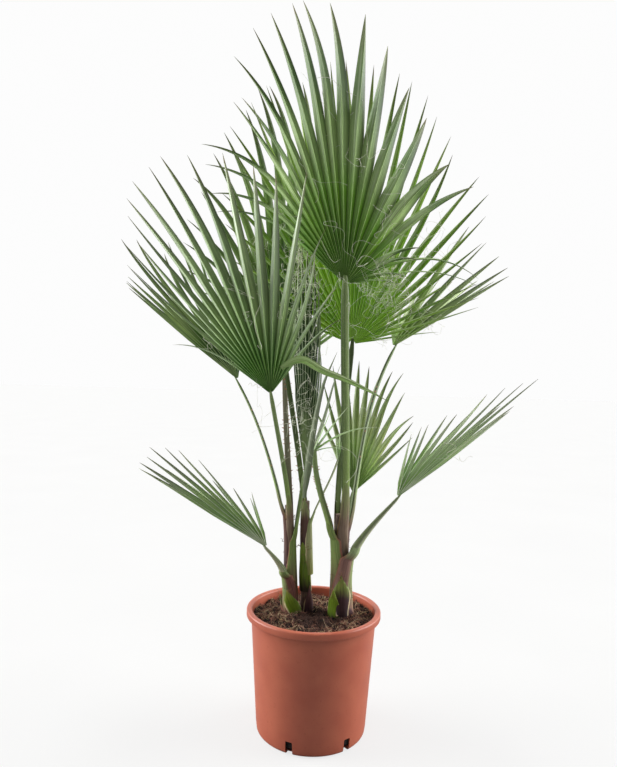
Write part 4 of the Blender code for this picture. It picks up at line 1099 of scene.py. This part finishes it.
def stalk_finish(name, dull, fresh, edge, foot):
    """Fibrous stalk skin: pale in the middle of each side, dark along the edges, paler at the foot."""
    material, tree, shader = finish(name, 0.38)
    place, turn, along = on_surface(tree)
    # The edges lie at 0 and 0.5 round the ring
    wave = add(tree, "Math", {0: turn, 1: 4 * math.pi}, operation="MULTIPLY")
    wave = add(tree, "Math", {0: wave}, operation="COSINE")
    fibre = grain(tree, 1.0, (1 / 30, 1 / 2, 1), 2.0, place)
    tone = layer(tree, dull, fresh, fibre, 0.3, 0.7)
    tone = layer(tree, tone, foot, along, 0.45, 0.05)
    # One side is dark green, and pale scurf sits on the rest in specks about a millimetre wide
    tone = layer(tree, tone, "D2CEB0", grain(tree, 1.1 * MM), 0.60, 0.66, 0.4)
    side = add(tree, "MapRange", {0: turn, 1: 0.56, 2: 0.68, 3: 0.42, 4: 1.12})
    tone = add(tree, "HueSaturation", {"Value": side, "Color": tone})
    tone = layer(tree, tone, edge, wave, 0.1, 0.9)
    coat(tree, shader, tone, fibre, 0.6, 0.3 * MM)
    return material


stalk_finishes = {
    "green": stalk_finish("green_palm_stalk", "5C763C", "8CA068", "3E5028", "96B25C"),
    "pale": stalk_finish("pale_palm_stalk", "A2AE84", "CCD2B4", "7E8C60", "B8C49A"),
    "old": stalk_finish("old_palm_stalk", "8A866C", "B4AC92", "6A5036", "9A946E"),
}
# Thorns: horn-like, glossy, orange-brown
thorn = mottled("thorn_horn", 0.35, 2 * MM, "8A4E26", "B4783F", ior=1.5)
print("stalk finishes:", len(stalk_finishes) + 1)

# %% Stalks
STALK_ROWS = 40
STALK_SIDES = 20
UPPER_SHARE = 0.55
GROOVE = 0.3
# How far the curve of a stalk keeps the way it leaves and the way it arrives, as shares of its length
LEAVE_SHARE = 0.25
ARRIVE_SHARE = 0.35
# Shares of the stalk between which the thorns stand, and their sizes in millimetres
THORN_PLACES = (0.12, 0.85)
THORN_SIZES = (2.2, 4.2)
# Share of a stalk's length that its sheath covers, and that from which it thins out under the blade
ON_STALK = 0.22
UNDER_BLADE = 0.93


def bezier(corners, t):
    """Points of a cubic curve at the values of t."""
    a, b, c, d = corners
    t = t[:, None]
    return (1 - t) ** 3 * a + 3 * (1 - t) ** 2 * t * b + 3 * (1 - t) * t ** 2 * c + t ** 3 * d


def stalk_seat(frond):
    """Foot of the stalk on its stem, the way it leaves and the way its width runs there."""
    stem = STEMS[frond.stem]
    bearing = math.radians(frond.bearing)
    out = np.array([math.cos(bearing), math.sin(bearing), 0])
    across = np.cross(UP, out)
    up = unit(np.array(stem.top) - [*stem.foot, SOIL_HEIGHT])
    if frond.seat > stem.top[2]:
        return np.array(stem.top), up, across
    centre, radius = stem_at(stem, frond.seat)
    leave = unit(unit(up + 0.12 * out) + frond.climb * unit(frond.hub - centre - out * radius))
    return centre + out * (radius + SEAT_GAP * frond.width[0]), leave, across


def stalk(frond):
    """Line of the stalk, the way its width runs, the way its groove looks, and its width."""
    start, leave, across = stalk_seat(frond)
    axis, side, face = blade_frame(frond)
    arrive = unit(0.6 * axis + unit(frond.hub - start))
    end = np.array(frond.hub) + axis * 0.75 * HUB_SHARE * frond.width[1]
    length = np.linalg.norm(end - start)
    corners = (start, start + leave * length * LEAVE_SHARE, end - arrive * length * ARRIVE_SHARE, end)
    share = np.linspace(0, 1, STALK_ROWS)
    line = bezier(corners, share)
    run = unit(np.gradient(line, axis=0))
    across = across * np.sign(across @ side)
    wide = square_to(mix(across, side, share[:, None]), run)
    above = np.cross(run, wide)
    above = above * np.sign(above[-1] @ face)
    width = mix(frond.width[0], frond.width[1], share ** 0.7)
    width = width * np.where(share > UNDER_BLADE, mix(1, 0.55, (share - UNDER_BLADE) / 0.07), 1)
    width = width * mix(0.5, 1, smooth(0.02, ON_STALK, share))
    return line, wide, above, width


def stalk_rings(frond):
    """Rings of a stalk: round below, grooved above, with raised edges, and places on its skin.

    Below, the section is half an oval. Above, its height is 0.55 of that, less a groove of
    0.3 * cos(90 degrees * x)^2, where x runs from -1 to 1 across.
    """
    line, wide, above, width = stalk(frond)
    turn = np.arange(STALK_SIDES) * 2 * math.pi / STALK_SIDES
    x = np.cos(turn)
    grooved = UPPER_SHARE * np.sin(turn) - GROOVE * np.cos(x * math.pi / 2) ** 2
    y = np.where(np.sin(turn) > 0, grooved, np.sin(turn))
    section = x[:, None] * wide[:, None] + frond.depth * y[:, None] * above[:, None]
    rings = line[:, None] + section * width[:, None, None] / 2
    u = np.arange(STALK_SIDES) / STALK_SIDES
    uv = np.stack(np.broadcast_arrays(u, np.linspace(0, 1, STALK_ROWS)[:, None]), -1)
    return rings[None], uv[None]


def teeth(frond, rng):
    """Rings of the thorns: short curved cones on both edges, which point outwards and up the stalk."""
    line, wide, above, width = stalk(frond)
    share = np.sort(rng.uniform(*THORN_PLACES, (2, frond.teeth)), 1)
    hand = np.repeat([-1, 1], frond.teeth)[:, None]
    at = (share.ravel() * (STALK_ROWS - 1)).astype(int)
    out = wide[at] * hand
    run = unit(np.gradient(line, axis=0))[at]
    size = rng.uniform(*THORN_SIZES, len(at))[:, None] * MM
    foot = line[at] + out * (width[at, None] / 2 - 0.4 * MM)
    t = np.array([0, 0.5, 1.0])[:, None]
    path = foot[:, None] + (out[:, None] * t + run[:, None] * 0.5 * t ** 2) * size[:, None]
    radius = size[:, :1] * np.array([0.32, 0.2, 0.02])
    return tubes(path, radius)


rng = np.random.default_rng(41)
thorns = []
for frond in FRONDS:
    rings, uv = stalk_rings(frond)
    node = ["petiole_" + frond.name] if frond.count else ()
    piece("stalk_" + frond.name, rings, [stalk_finishes[frond.skin]], "petiole", node, sharp=50, uv=uv)
    if frond.teeth:
        thorns.append(teeth(frond, rng))
thorn_rings = np.concatenate(thorns)
piece("stalk_thorns", thorn_rings, [thorn], "petiole", sharp=60)
print("thorns:", len(thorn_rings))

# %% [markdown]
# ## Stems and leaf bases
# The stems are hidden under the feet of their leaves: sheaths that wrap the stem below each stalk,
# and the stubs of leaves cut off long ago. The bark itself is purple-brown and fibrous. The sheaths
# are shells round the stem that narrow from almost its whole girth to the foot of their stalk.

# %% Bark and sheath finishes


def fibre_finish(name, dark, light, patch, roughness=0.7):
    """Fibrous plant skin: threads of two tones that run upwards, with patches of a third."""
    material, tree, shader = finish(name, roughness)
    fibre = grain(tree, 1.3 * MM, (1, 1, 14), 3.0)
    cloud = grain(tree, 14 * MM, (1, 1, 2))
    tone = layer(tree, dark, light, fibre, 0.35, 0.65)
    tone = layer(tree, tone, patch, cloud, 0.52, 0.68)
    coat(tree, shader, tone, fibre, 0.8, 0.8 * MM)
    return material


def sheath_finish(name, foot, middle, top, rim, turn=0.6, blush=None):
    """Leaf base: fibrous skin of three tones from foot to top, the last from turn on; a dead rim.

    blush: places across it from which and to which the foot's tone spreads upwards
    """
    material, tree, shader = finish(name, 0.45)
    place, across, rise = on_surface(tree)
    fibre = grain(tree, 1.0, (1 / 26, 1 / 2, 1), 3.0, place)
    wobble = add(tree, "Math", {0: fibre, 1: 0.3, 2: rise}, operation="MULTIPLY_ADD")
    tone = layer(tree, foot, middle, wobble, 0.22, 0.50)
    tone = layer(tree, tone, top, wobble, turn, turn + 0.3)
    if blush:
        spread = add(tree, "Math", {0: fibre, 1: 0.2, 2: across}, operation="MULTIPLY_ADD")
        part = add(tree, "MapRange", {0: spread, 1: blush[0], 2: blush[1]})
        fade = add(tree, "MapRange", {0: rise, 1: 0.85, 2: 0.6})
        part = add(tree, "Math", {0: part, 1: fade}, operation="MULTIPLY")
        tone = add(tree, "Mix", {0: part, 6: tone, 7: foot}, 2, data_type="RGBA")
    value = add(tree, "MapRange", {0: fibre, 1: 0.3, 2: 0.7, 3: 0.62, 4: 1.35})
    tone = add(tree, "HueSaturation", {"Value": value, "Color": tone})
    # The rim is dead along both margins, as far up as the sheath stays open
    off = add(tree, "Math", {0: fibre, 1: 0.12, 2: off_middle(tree, across)}, operation="MULTIPLY_ADD")
    edge = add(tree, "MapRange", {0: off, 1: 0.455, 2: 0.505})
    parted = add(tree, "MapRange", {0: rise, 1: 0.80, 2: 0.62})
    edge = add(tree, "Math", {0: edge, 1: parted}, operation="MULTIPLY")
    tone = add(tree, "Mix", {0: edge, 6: tone, 7: rim}, 2, data_type="RGBA")
    coat(tree, shader, tone, fibre, 0.7, 0.5 * MM)
    return material


bark_skin = fibre_finish("fibrous_palm_bark", "3A2624", "7E6558", "8A8068")
# Name, tones at the foot, in the middle, at the top and of the rim, and then turn and blush
sheaths = {key: sheath_finish(*values) for key, *values in (
    ("green", "green_leaf_sheath", "86645A", "88985E", "96A878", "8A5A44", 0.6, (0.62, 0.50)),
    ("tinged", "tinged_leaf_sheath", "6A4A44", "7E6A52", "7E9450", "A06A58", 0.34),
    ("flushed", "flushed_leaf_sheath", "7A5048", "7C8C58", "84985E", "A0705C", 0.6, (0.60, 0.72)),
    ("purple", "purple_leaf_sheath", "3E2628", "66463F", "8A9462", "9C7F5C", 0.8),
    ("aged", "silvery_old_sheath", "4E3336", "8C7664", "8A9C5C", "A07848", 0.85),
    ("cream", "pale_leaf_sheath", "8E9450", "A8AA7C", "98A870", "DCCFA4"),
    ("scale", "green_leaf_base", "2E2A1C", "66821C", "82983A", "D8C8A0", 0.8),
    ("stub", "cut_leaf_base", "24141A", "3A2428", "748238", "D2C098"),
    ("dark", "dark_leaf_base", "22141A", "40262C", "5A3E3E", "C8B490"))}
print("bark and sheath finishes:", len(sheaths) + 1)

# %% Stems
STEM_ROWS = 90
STEM_SIDES = 36
SCAR_STEP = 0.024
SCAR_DEPTH = 0.0007
RIDGE_SHARE = 0.05


def stem_rings(stem):
    """Rings of a stem: the plain taper with ridges of fibre and the steps of old leaf scars.

    radius = taper * (1 + 0.05 * noise drawn out along the stem) + 0.7 mm * the saw-tooth of the height
    and bearing, which starts again every 24 mm and makes each scar wind slightly upwards
    """
    height = np.linspace(STEM_FOOT - 0.003, stem.top[2], STEM_ROWS)
    centre, radius = stem_at(stem, height)
    turn = np.arange(STEM_SIDES) * 2 * math.pi / STEM_SIDES
    flat = level(turn)
    place = centre[:, None] + radius[:, None, None] * flat
    ridge = rumple(place * [1, 1, 0.12], 0.004, 5)
    scar = ((height[:, None] / SCAR_STEP + turn / (2 * math.pi) * 2) % 1) - 0.5
    bulge = radius[:, None] * RIDGE_SHARE * ridge + SCAR_DEPTH * scar
    return (place + bulge[..., None] * flat)[None]


for name, stem in STEMS.items():
    piece(name.replace("stem", "bark"), stem_rings(stem), [bark_skin], "stem", [name], sharp=60)
print("stems:", len(STEMS))

# %% Sheaths and scales
SHELL_COLUMNS = 19
SHELL_ROWS = 26
CLASP_ROWS = 44
# Share of a sheath's rows that lie on the stem; the rest lie on the stalk
ON_STEM = 0.6
STRING_ROWS = 12
STRING_COUNT = 260

# name of the frond, foot, half angle at the foot in degrees, thickness, gap to the stem, degrees that
# its foot lies round from its stalk, finish
Clasp = namedtuple("Clasp", "name low half thick lift lean look")
CLASPS = (
    Clasp("front_high", 0.286, 84, 0.0018, 0.0008, 15, "aged"),
    Clasp("back_right", 0.275, 110, 0.0016, 0.0006, 0, "purple"),
    Clasp("right", 0.262, 100, 0.0018, 0.0004, 0, "purple"),
    Clasp("inner_right", 0.255, 95, 0.0018, 0.0003, 0, "purple"),
    Clasp("inner_left", 0.206, 84, 0.0026, 0.0026, 30, "tinged"),
    Clasp("low_right", 0.200, 112, 0.0030, 0.0040, -34, "green"),
    Clasp("front_left", 0.292, 100, 0.0014, 0.0003, 20, "aged"),
    Clasp("back_left", 0.270, 100, 0.0014, 0.0006, 40, "purple"),
    Clasp("back", 0.290, 100, 0.0014, 0.0005, 0, "purple"),
    Clasp("spear_foot", 0.205, 84, 0.0024, 0.0016, -36, "tinged"),
    Clasp("low_left", 0.196, 96, 0.0028, 0.0026, 34, "flushed"),
    Clasp("back_high", 0.300, 110, 0.0014, 0.0003, 0, "purple"),
    Clasp("small", 0.268, 66, 0.0022, 0.0026, 0, "cream"),
)
# name, stem, bearing of its middle in degrees, heights of foot and top, half angles at foot and top,
# thickness, degrees that it leans round the stem on its way up, finish
Sheath = namedtuple("Sheath", "name stem bearing low high half thick lean look")
SHEATHS = (
    Sheath("middle_top", "stem_middle", -100, 0.310, 0.404, (125, 70), 0.0014, 0, "purple"),
    Sheath("middle_main", "stem_middle", -112, 0.236, 0.326, (100, 74), 0.0030, -6, "scale"),
)


def clasp_rings(frond, clasp):
    """Rings of a sheath that clasps its stem and narrows into the foot of its stalk, and places on it.

    Its section is an arc of an oval. At the foot the oval is the stem's own round, at the top the
    lower half of the stalk; its middle, its half axes and its half angle go from one to the other.
    """
    stem = STEMS[frond.stem]
    line, wide, above, width = stalk(frond)
    v = np.linspace(0, 1, CLASP_ROWS)
    rise = np.clip(v / ON_STEM, 0, 1)
    share = np.clip((v - ON_STEM) / (1 - ON_STEM), 0, 1) * ON_STALK
    free = smooth(0.5 * ON_STEM, 0.95, v)[:, None]
    centre, radius = stem_at(stem, mix(clasp.low, frond.seat, rise))
    out = level(np.radians(frond.bearing + clasp.lean * (1 - rise)))
    at = share * (STALK_ROWS - 1)
    rows = np.arange(STALK_ROWS)
    stalk_line = between(at, rows, line)
    stalk_under = -between(at, rows, above)
    stalk_under = stalk_under * np.sign(stalk_under[0] @ out[-1])
    stalk_width = mix(frond.width[0], width[int(ON_STALK * (STALK_ROWS - 1))], share / ON_STALK)
    beside = centre + out * (radius + SEAT_GAP * frond.width[0])[:, None]
    beside = beside + (line[0] - beside[-1]) * rise[:, None]
    beside = np.where(v[:, None] > ON_STEM, stalk_line, beside)
    middle = mix(centre, beside, free)
    run = unit(np.gradient(mix(centre, beside, rise[:, None]), axis=0))
    turn = smooth(ON_STEM * 0.7, 1, v)[:, None]
    normal = square_to(mix(out, stalk_under, turn), run)
    across = np.cross(run, normal)
    # The last rows sink into the stalk, so no step shows where the sheath ends
    grown = 1 + 0.05 * (1 - share / ON_STALK) - 0.16 * smooth(0.55, 1, share / ON_STALK)
    half_wide = mix(radius + clasp.lift, stalk_width / 2 * grown, free[:, 0])
    half_deep = mix(radius + clasp.lift, stalk_width / 2 * frond.depth * grown, free[:, 0])
    angle = np.radians(mix(clasp.half, 84, smooth(0, 0.8, v)))[:, None]
    x = np.linspace(-1, 1, SHELL_COLUMNS)
    tear = 1 + 0.10 * rumple(np.stack([v * 14, v * 0, v * 0], 1), 1.0, int(clasp.half))[:, None]
    theta = x * np.where(v[:, None] < ON_STEM, angle * tear, angle)
    shell = clasp.thick * (1 - 0.85 * np.abs(x) ** 3) * mix(1, 0.4, v[:, None])
    sides = []
    for sink in (0 * shell, -shell):
        wider = (half_wide[:, None] + shell + sink) * np.sin(theta)
        deeper = (half_deep[:, None] + shell + sink) * np.cos(theta)
        sides.append(middle[:, None] + across[:, None] * wider[..., None]
                     + normal[:, None] * deeper[..., None])
    rings, uv = closed(*sides, x, v[:, None])
    return rings[None], uv[None]


def shell_rings(stem, bearing, low, high, half, lift, shell, ragged, rng, lean=0.0, droop=0.42):
    """Rings of a shell that clasps a stem, and places on it.

    low, high: height of its foot and of the middle of its top; half, lift and shell: half angle in
    degrees, distance to the stem and thickness, each a function of the share of the height; the top is
    lower at the sides, by droop * |x|^1.6, and torn by noise; lean turns it round the stem as it rises
    """
    x = np.linspace(-1, 1, SHELL_COLUMNS)
    v = np.linspace(0, 1, SHELL_ROWS)[:, None]
    tear = rng.uniform(-1, 0.4, SHELL_COLUMNS) * (0.25 + 0.75 * np.abs(x))
    height = mix(low, (mix(high, low, droop * np.abs(x) ** 1.6) + ragged * tear)[None], v)
    centre, radius = stem_at(stem, height)
    turn = np.radians(bearing + lean * v + half(v) * x)
    inner = radius + lift(v)
    outer = inner + shell(v) * mix(0.2, 1, 1 - np.abs(x) ** 3)
    rings, uv = closed(*[centre + level(turn) * r[..., None] for r in (outer, inner)], x, v)
    return rings[None], uv[None]


rng = np.random.default_rng(53)
by_name = {frond.name: frond for frond in FRONDS}
rims = []
for clasp in CLASPS:
    rings, uv = clasp_rings(by_name[clasp.name], clasp)
    rims.append(rings[0, 4:int(ON_STEM * CLASP_ROWS), [0, SHELL_COLUMNS - 1]].reshape(-1, 3))
    piece("sheath_" + clasp.name, rings, [sheaths[clasp.look]], "boot", sharp=50, uv=uv)
for sheath in SHEATHS:
    rings, uv = shell_rings(
        STEMS[sheath.stem], sheath.bearing, sheath.low, sheath.high,
        lambda v: mix(*sheath.half, v ** 0.9), lambda v: 0.0008 + 0.0010 * v,
        lambda v: sheath.thick * (0.35 + 0.65 * np.sin(math.pi * np.minimum(1, v + 0.15))),
        0.005, rng, sheath.lean)
    rims.append(rings[0, -1, :SHELL_COLUMNS])
    piece("sheath_" + sheath.name, rings, [sheaths[sheath.look]], "boot", sharp=50, uv=uv)
# For each scale: degrees that it sits round from its solid and that it leans, share of its half angle
# at its foot and at its shoulder, what is added to its height and to its gap to the stem, finish
SCALES = {
    "right_front": (6, -4, (0.6, 1.1), 0.010, 0, "stub"),
    "right_foot": (0, 26, (1, 1), 0, 0, "dark"),
    "right_side": (32, 16, (1, 1), 0.012, 0.0025, "scale"),
    "left_front": (42, -64, (0.6, 0.9), -0.007, 0.005, "scale"),
    "left_side": (0, 0, (1, 1), 0, 0, "flushed"),
    "middle_front": (0, 0, (1, 1), 0, 0, "dark"),
}
for boot in BOOTS:
    around, lean, wide, more, off, look = SCALES[boot.name]
    # A cut stub keeps its width almost to the top; the others taper earlier
    point = 6 if look == "stub" else 3.5
    rings, uv = shell_rings(
        STEMS[boot.stem], boot.bearing + around, boot.foot, boot.top + more,
        lambda v: boot.half * mix(*wide, smooth(0, 0.7, v)) * (1 - 0.8 * v ** point),
        lambda v: boot.inset + off + 0.0016 + boot.splay * v ** 1.5,
        lambda v: 0.0048 * (1 - 0.7 * v), 0.003, rng, lean, 0.22)
    rims.append(rings[0, -1, :SHELL_COLUMNS])
    piece("scale_" + boot.name, rings, [sheaths[look]], "boot", ["boot_" + boot.name], sharp=50, uv=uv)
print("sheaths and scales:", len(CLASPS) + len(SHEATHS) + len(BOOTS))

# %% Torn fibre along the rims
# Dead fibre: the rims of old sheaths dry to brown, dull strings that curl away from the stem
string_skin = mottled("dry_sheath_fibre", 0.8, 4 * MM, "5A3E2A", "A5845C")
rim_points = np.concatenate(rims)
start = rim_points[rng.integers(0, len(rim_points), STRING_COUNT)]
way = unit(rng.normal(size=start.shape) * [1, 1, 0.6] + 0.7 * UP)
length = rng.uniform(5, 20, len(start)) * MM
paths = curls(rng, start, way, length, 0.9, STRING_ROWS, (0.5, 1.2, 2.4))
piece("sheath_strings", strands(rng, paths, 0.15, 0.45), [string_skin], "boot", sharp=80)
print("strings:", len(start))

# %% [markdown]
# ## Threads
# As the folded young leaf opens, its segments tear apart and leave pale curly filaments at the clefts.
# Each is a tube half a millimetre thick along a line that wanders. Hair particles could do it; here
# each thread is a mesh.

# %% Threads
# Dry filament: pale, matt, greener in places
thread_skin = mottled("dry_leaf_filament", 0.6, 9 * MM, "D6D8B8", "F0F0E2")

THREAD_ROWS = 40
# Shortest and longest thread at a cleft
THREAD_LENGTHS = (0.05, 0.16)
# Threads in front of this plane, in y, keep only a share of the rest of their way
FOREMOST = -0.155
WAY_KEPT = 0.3
# Clumps that hang free of the clefts: middle, half size, number, shortest and longest
CLUMPS = (
    ((-0.046, -0.060, 0.825), (0.010, 0.02, 0.018), 26, 0.03, 0.08),
    ((-0.030, -0.050, 0.790), (0.016, 0.02, 0.030), 24, 0.05, 0.12),
    ((-0.030, -0.040, 0.700), (0.014, 0.02, 0.050), 12, 0.05, 0.12),
    ((-0.030, -0.030, 0.580), (0.014, 0.02, 0.060), 18, 0.04, 0.12),
    ((-0.028, -0.020, 0.510), (0.010, 0.02, 0.040), 10, 0.04, 0.10),
    ((0.110, -0.040, 0.800), (0.045, 0.03, 0.030), 44, 0.07, 0.16),
    ((0.130, -0.040, 0.765), (0.032, 0.03, 0.022), 26, 0.06, 0.12),
    ((0.120, 0.060, 0.735), (0.016, 0.03, 0.010), 10, 0.03, 0.07),
    ((-0.091, -0.130, 0.594), (0.012, 0.01, 0.015), 3, 0.04, 0.08),
    ((0.040, -0.100, 0.990), (0.050, 0.02, 0.040), 7, 0.06, 0.14),
    ((0.110, -0.100, 0.860), (0.030, 0.02, 0.030), 4, 0.06, 0.12),
    ((-0.120, -0.125, 0.740), (0.040, 0.02, 0.060), 4, 0.06, 0.14),
)
rng = np.random.default_rng(67)
paths = []
for frond in FANS:
    if not frond.threads:
        continue
    points, run = clefts[frond.name]
    pick = rng.integers(0, len(points), frond.threads)
    face = blade_frame(frond)[2]
    # Threads lie on the side of the fan that looks to the front
    toward = np.sign(-face[1]) * face
    heading = unit(run[pick] + 0.8 * rng.normal(size=(frond.threads, 3)) + 0.35 * toward - 0.4 * UP)
    start = points[pick] + toward * 2 * MM
    length = rng.uniform(*THREAD_LENGTHS, frond.threads)
    paths.append(curls(rng, start, heading, length, 1.0, THREAD_ROWS, (0.45, 0.9, 1.7)))
for middle, size, count, short, long in CLUMPS:
    start = np.array(middle) + rng.normal(size=(count, 3)) * size
    heading = unit(rng.normal(size=(count, 3)) * [1, 0.5, 1])
    length = rng.uniform(short, long, count)
    paths.append(curls(rng, start, heading, length, 1.2, THREAD_ROWS, (0.5, 1.1, 2.2)))
paths = np.concatenate(paths)
past = np.minimum(paths[..., 1] - FOREMOST, 0)
paths[..., 1] -= (1 - WAY_KEPT) * past
piece("threads", strands(rng, paths, 0.16, 0.3), [thread_skin], "frond", sharp=80)
print("threads:", len(paths))

# %% [markdown]
# ## Stage, light and camera
# The plant stands in a white studio: a floor that runs out of sight, white walls and wide soft lights.
# The camera looks straight ahead from the height of the plant's middle, close enough for the pot to
# be seen from above.

# %% Stage
FLOOR_HALF = 40
corners = [(x * FLOOR_HALF, y * FLOOR_HALF, 0) for x, y in ((-1, -1), (1, -1), (1, 1), (-1, 1))]
floor_mesh = bpy.data.meshes.new("floor")
floor_mesh.from_pydata(corners, [], [(0, 1, 2, 3)])
floor = bpy.data.objects.new("floor", floor_mesh)
bpy.context.scene.collection.objects.link(floor)
# The floor is the milky top of a light table: matt and pale, and lit from below as well, so the pot
# throws only a faint shadow. It throws back as little light as the dark front of a studio does
GLOW = 0.74
board, tree, shader = finish("milky_light_table", 0.9, Specular_IOR_Level=0)
pale = layer(tree, "6A6A69", "6D6D6C", grain(tree, 0.4), 0.3, 0.7)
seen = add(tree, "LightPath", out="Is Camera Ray")
tone = add(tree, "Mix", {0: seen, 6: "8C8C8B", 7: pale}, 2, data_type="RGBA")
coat(tree, shader, tone)
glow = add(tree, "Math", {0: seen, 1: GLOW}, operation="MULTIPLY")
shader.inputs["Emission Color"].default_value = (1, 1, 1, 1)
tree.links.new(glow, shader.inputs["Emission Strength"])
floor_mesh.materials.append(board)
print("floor:", 2 * FLOOR_HALF, "m wide")

# %% Light
FRONT_LIGHT = 0.19
BACK_LIGHT = 0.9
SEEN_LIGHT = 0.98
world = bpy.data.worlds.new("studio")
bpy.context.scene.world = world
world.use_nodes = True
tree = world.node_tree
# The room is dark on the camera's side and bright behind the plant; the walls look evenly white
toward = add(tree, "SeparateXYZ", {0: add(tree, "TexCoord", out="Generated")}, 1)
wall = add(tree, "MapRange", {0: toward, 1: -0.6, 2: 0.8, 3: FRONT_LIGHT, 4: BACK_LIGHT})
seen = add(tree, "LightPath", out="Is Camera Ray")
strength = add(tree, "Mix", {0: seen, 2: wall, 3: SEEN_LIGHT}, data_type="FLOAT")
back = tree.nodes["Background"]
back.inputs["Color"].default_value = (1, 1, 1, 1)
tree.links.new(strength, back.inputs["Strength"])


def lamp(name, heading, power, spread):
    """Sun lamp with soft edges that shines along heading; spread is its width in degrees."""
    data = bpy.data.lights.new(name, "SUN")
    data.energy = power
    data.angle = math.radians(spread)
    obj = bpy.data.objects.new(name, data)
    back = -unit(heading)
    first = unit(np.cross(UP + [0.01, 0, 0], back))
    second = np.cross(back, first)
    obj.matrix_world = Matrix(np.stack([first, second, back], 1).tolist()).to_4x4()
    bpy.context.scene.collection.objects.link(obj)


lamp("left_lamp", (0.92, -0.16, -0.36), 4.4, 50)
lamp("right_lamp", (-0.92, -0.16, -0.36), 4.1, 50)
lamp("top_lamp", (0.05, 0.15, -1), 0.3, 80)
print("lamps:", len(bpy.data.lights))

# %% Camera
CAMERA_PLACE = (-0.0207, -1.1003, 0.6162)
CAMERA_ROLL = 0.0283
LENS_MM = 28.64
camera_data = bpy.data.cameras.new("camera")
camera_data.lens = LENS_MM
camera_data.sensor_width = 36
camera_data.clip_end = 200
camera = bpy.data.objects.new("camera", camera_data)
c, s = math.cos(CAMERA_ROLL), math.sin(CAMERA_ROLL)
camera.matrix_world = Matrix(((c, -s, 0, CAMERA_PLACE[0]), (0, 0, -1, CAMERA_PLACE[1]),
                              (s, c, 0, CAMERA_PLACE[2]), (0, 0, 0, 1)))
bpy.context.scene.collection.objects.link(camera)
bpy.context.scene.camera = camera
bpy.context.scene.view_settings.view_transform = "Standard"
print("lens:", LENS_MM, "mm")
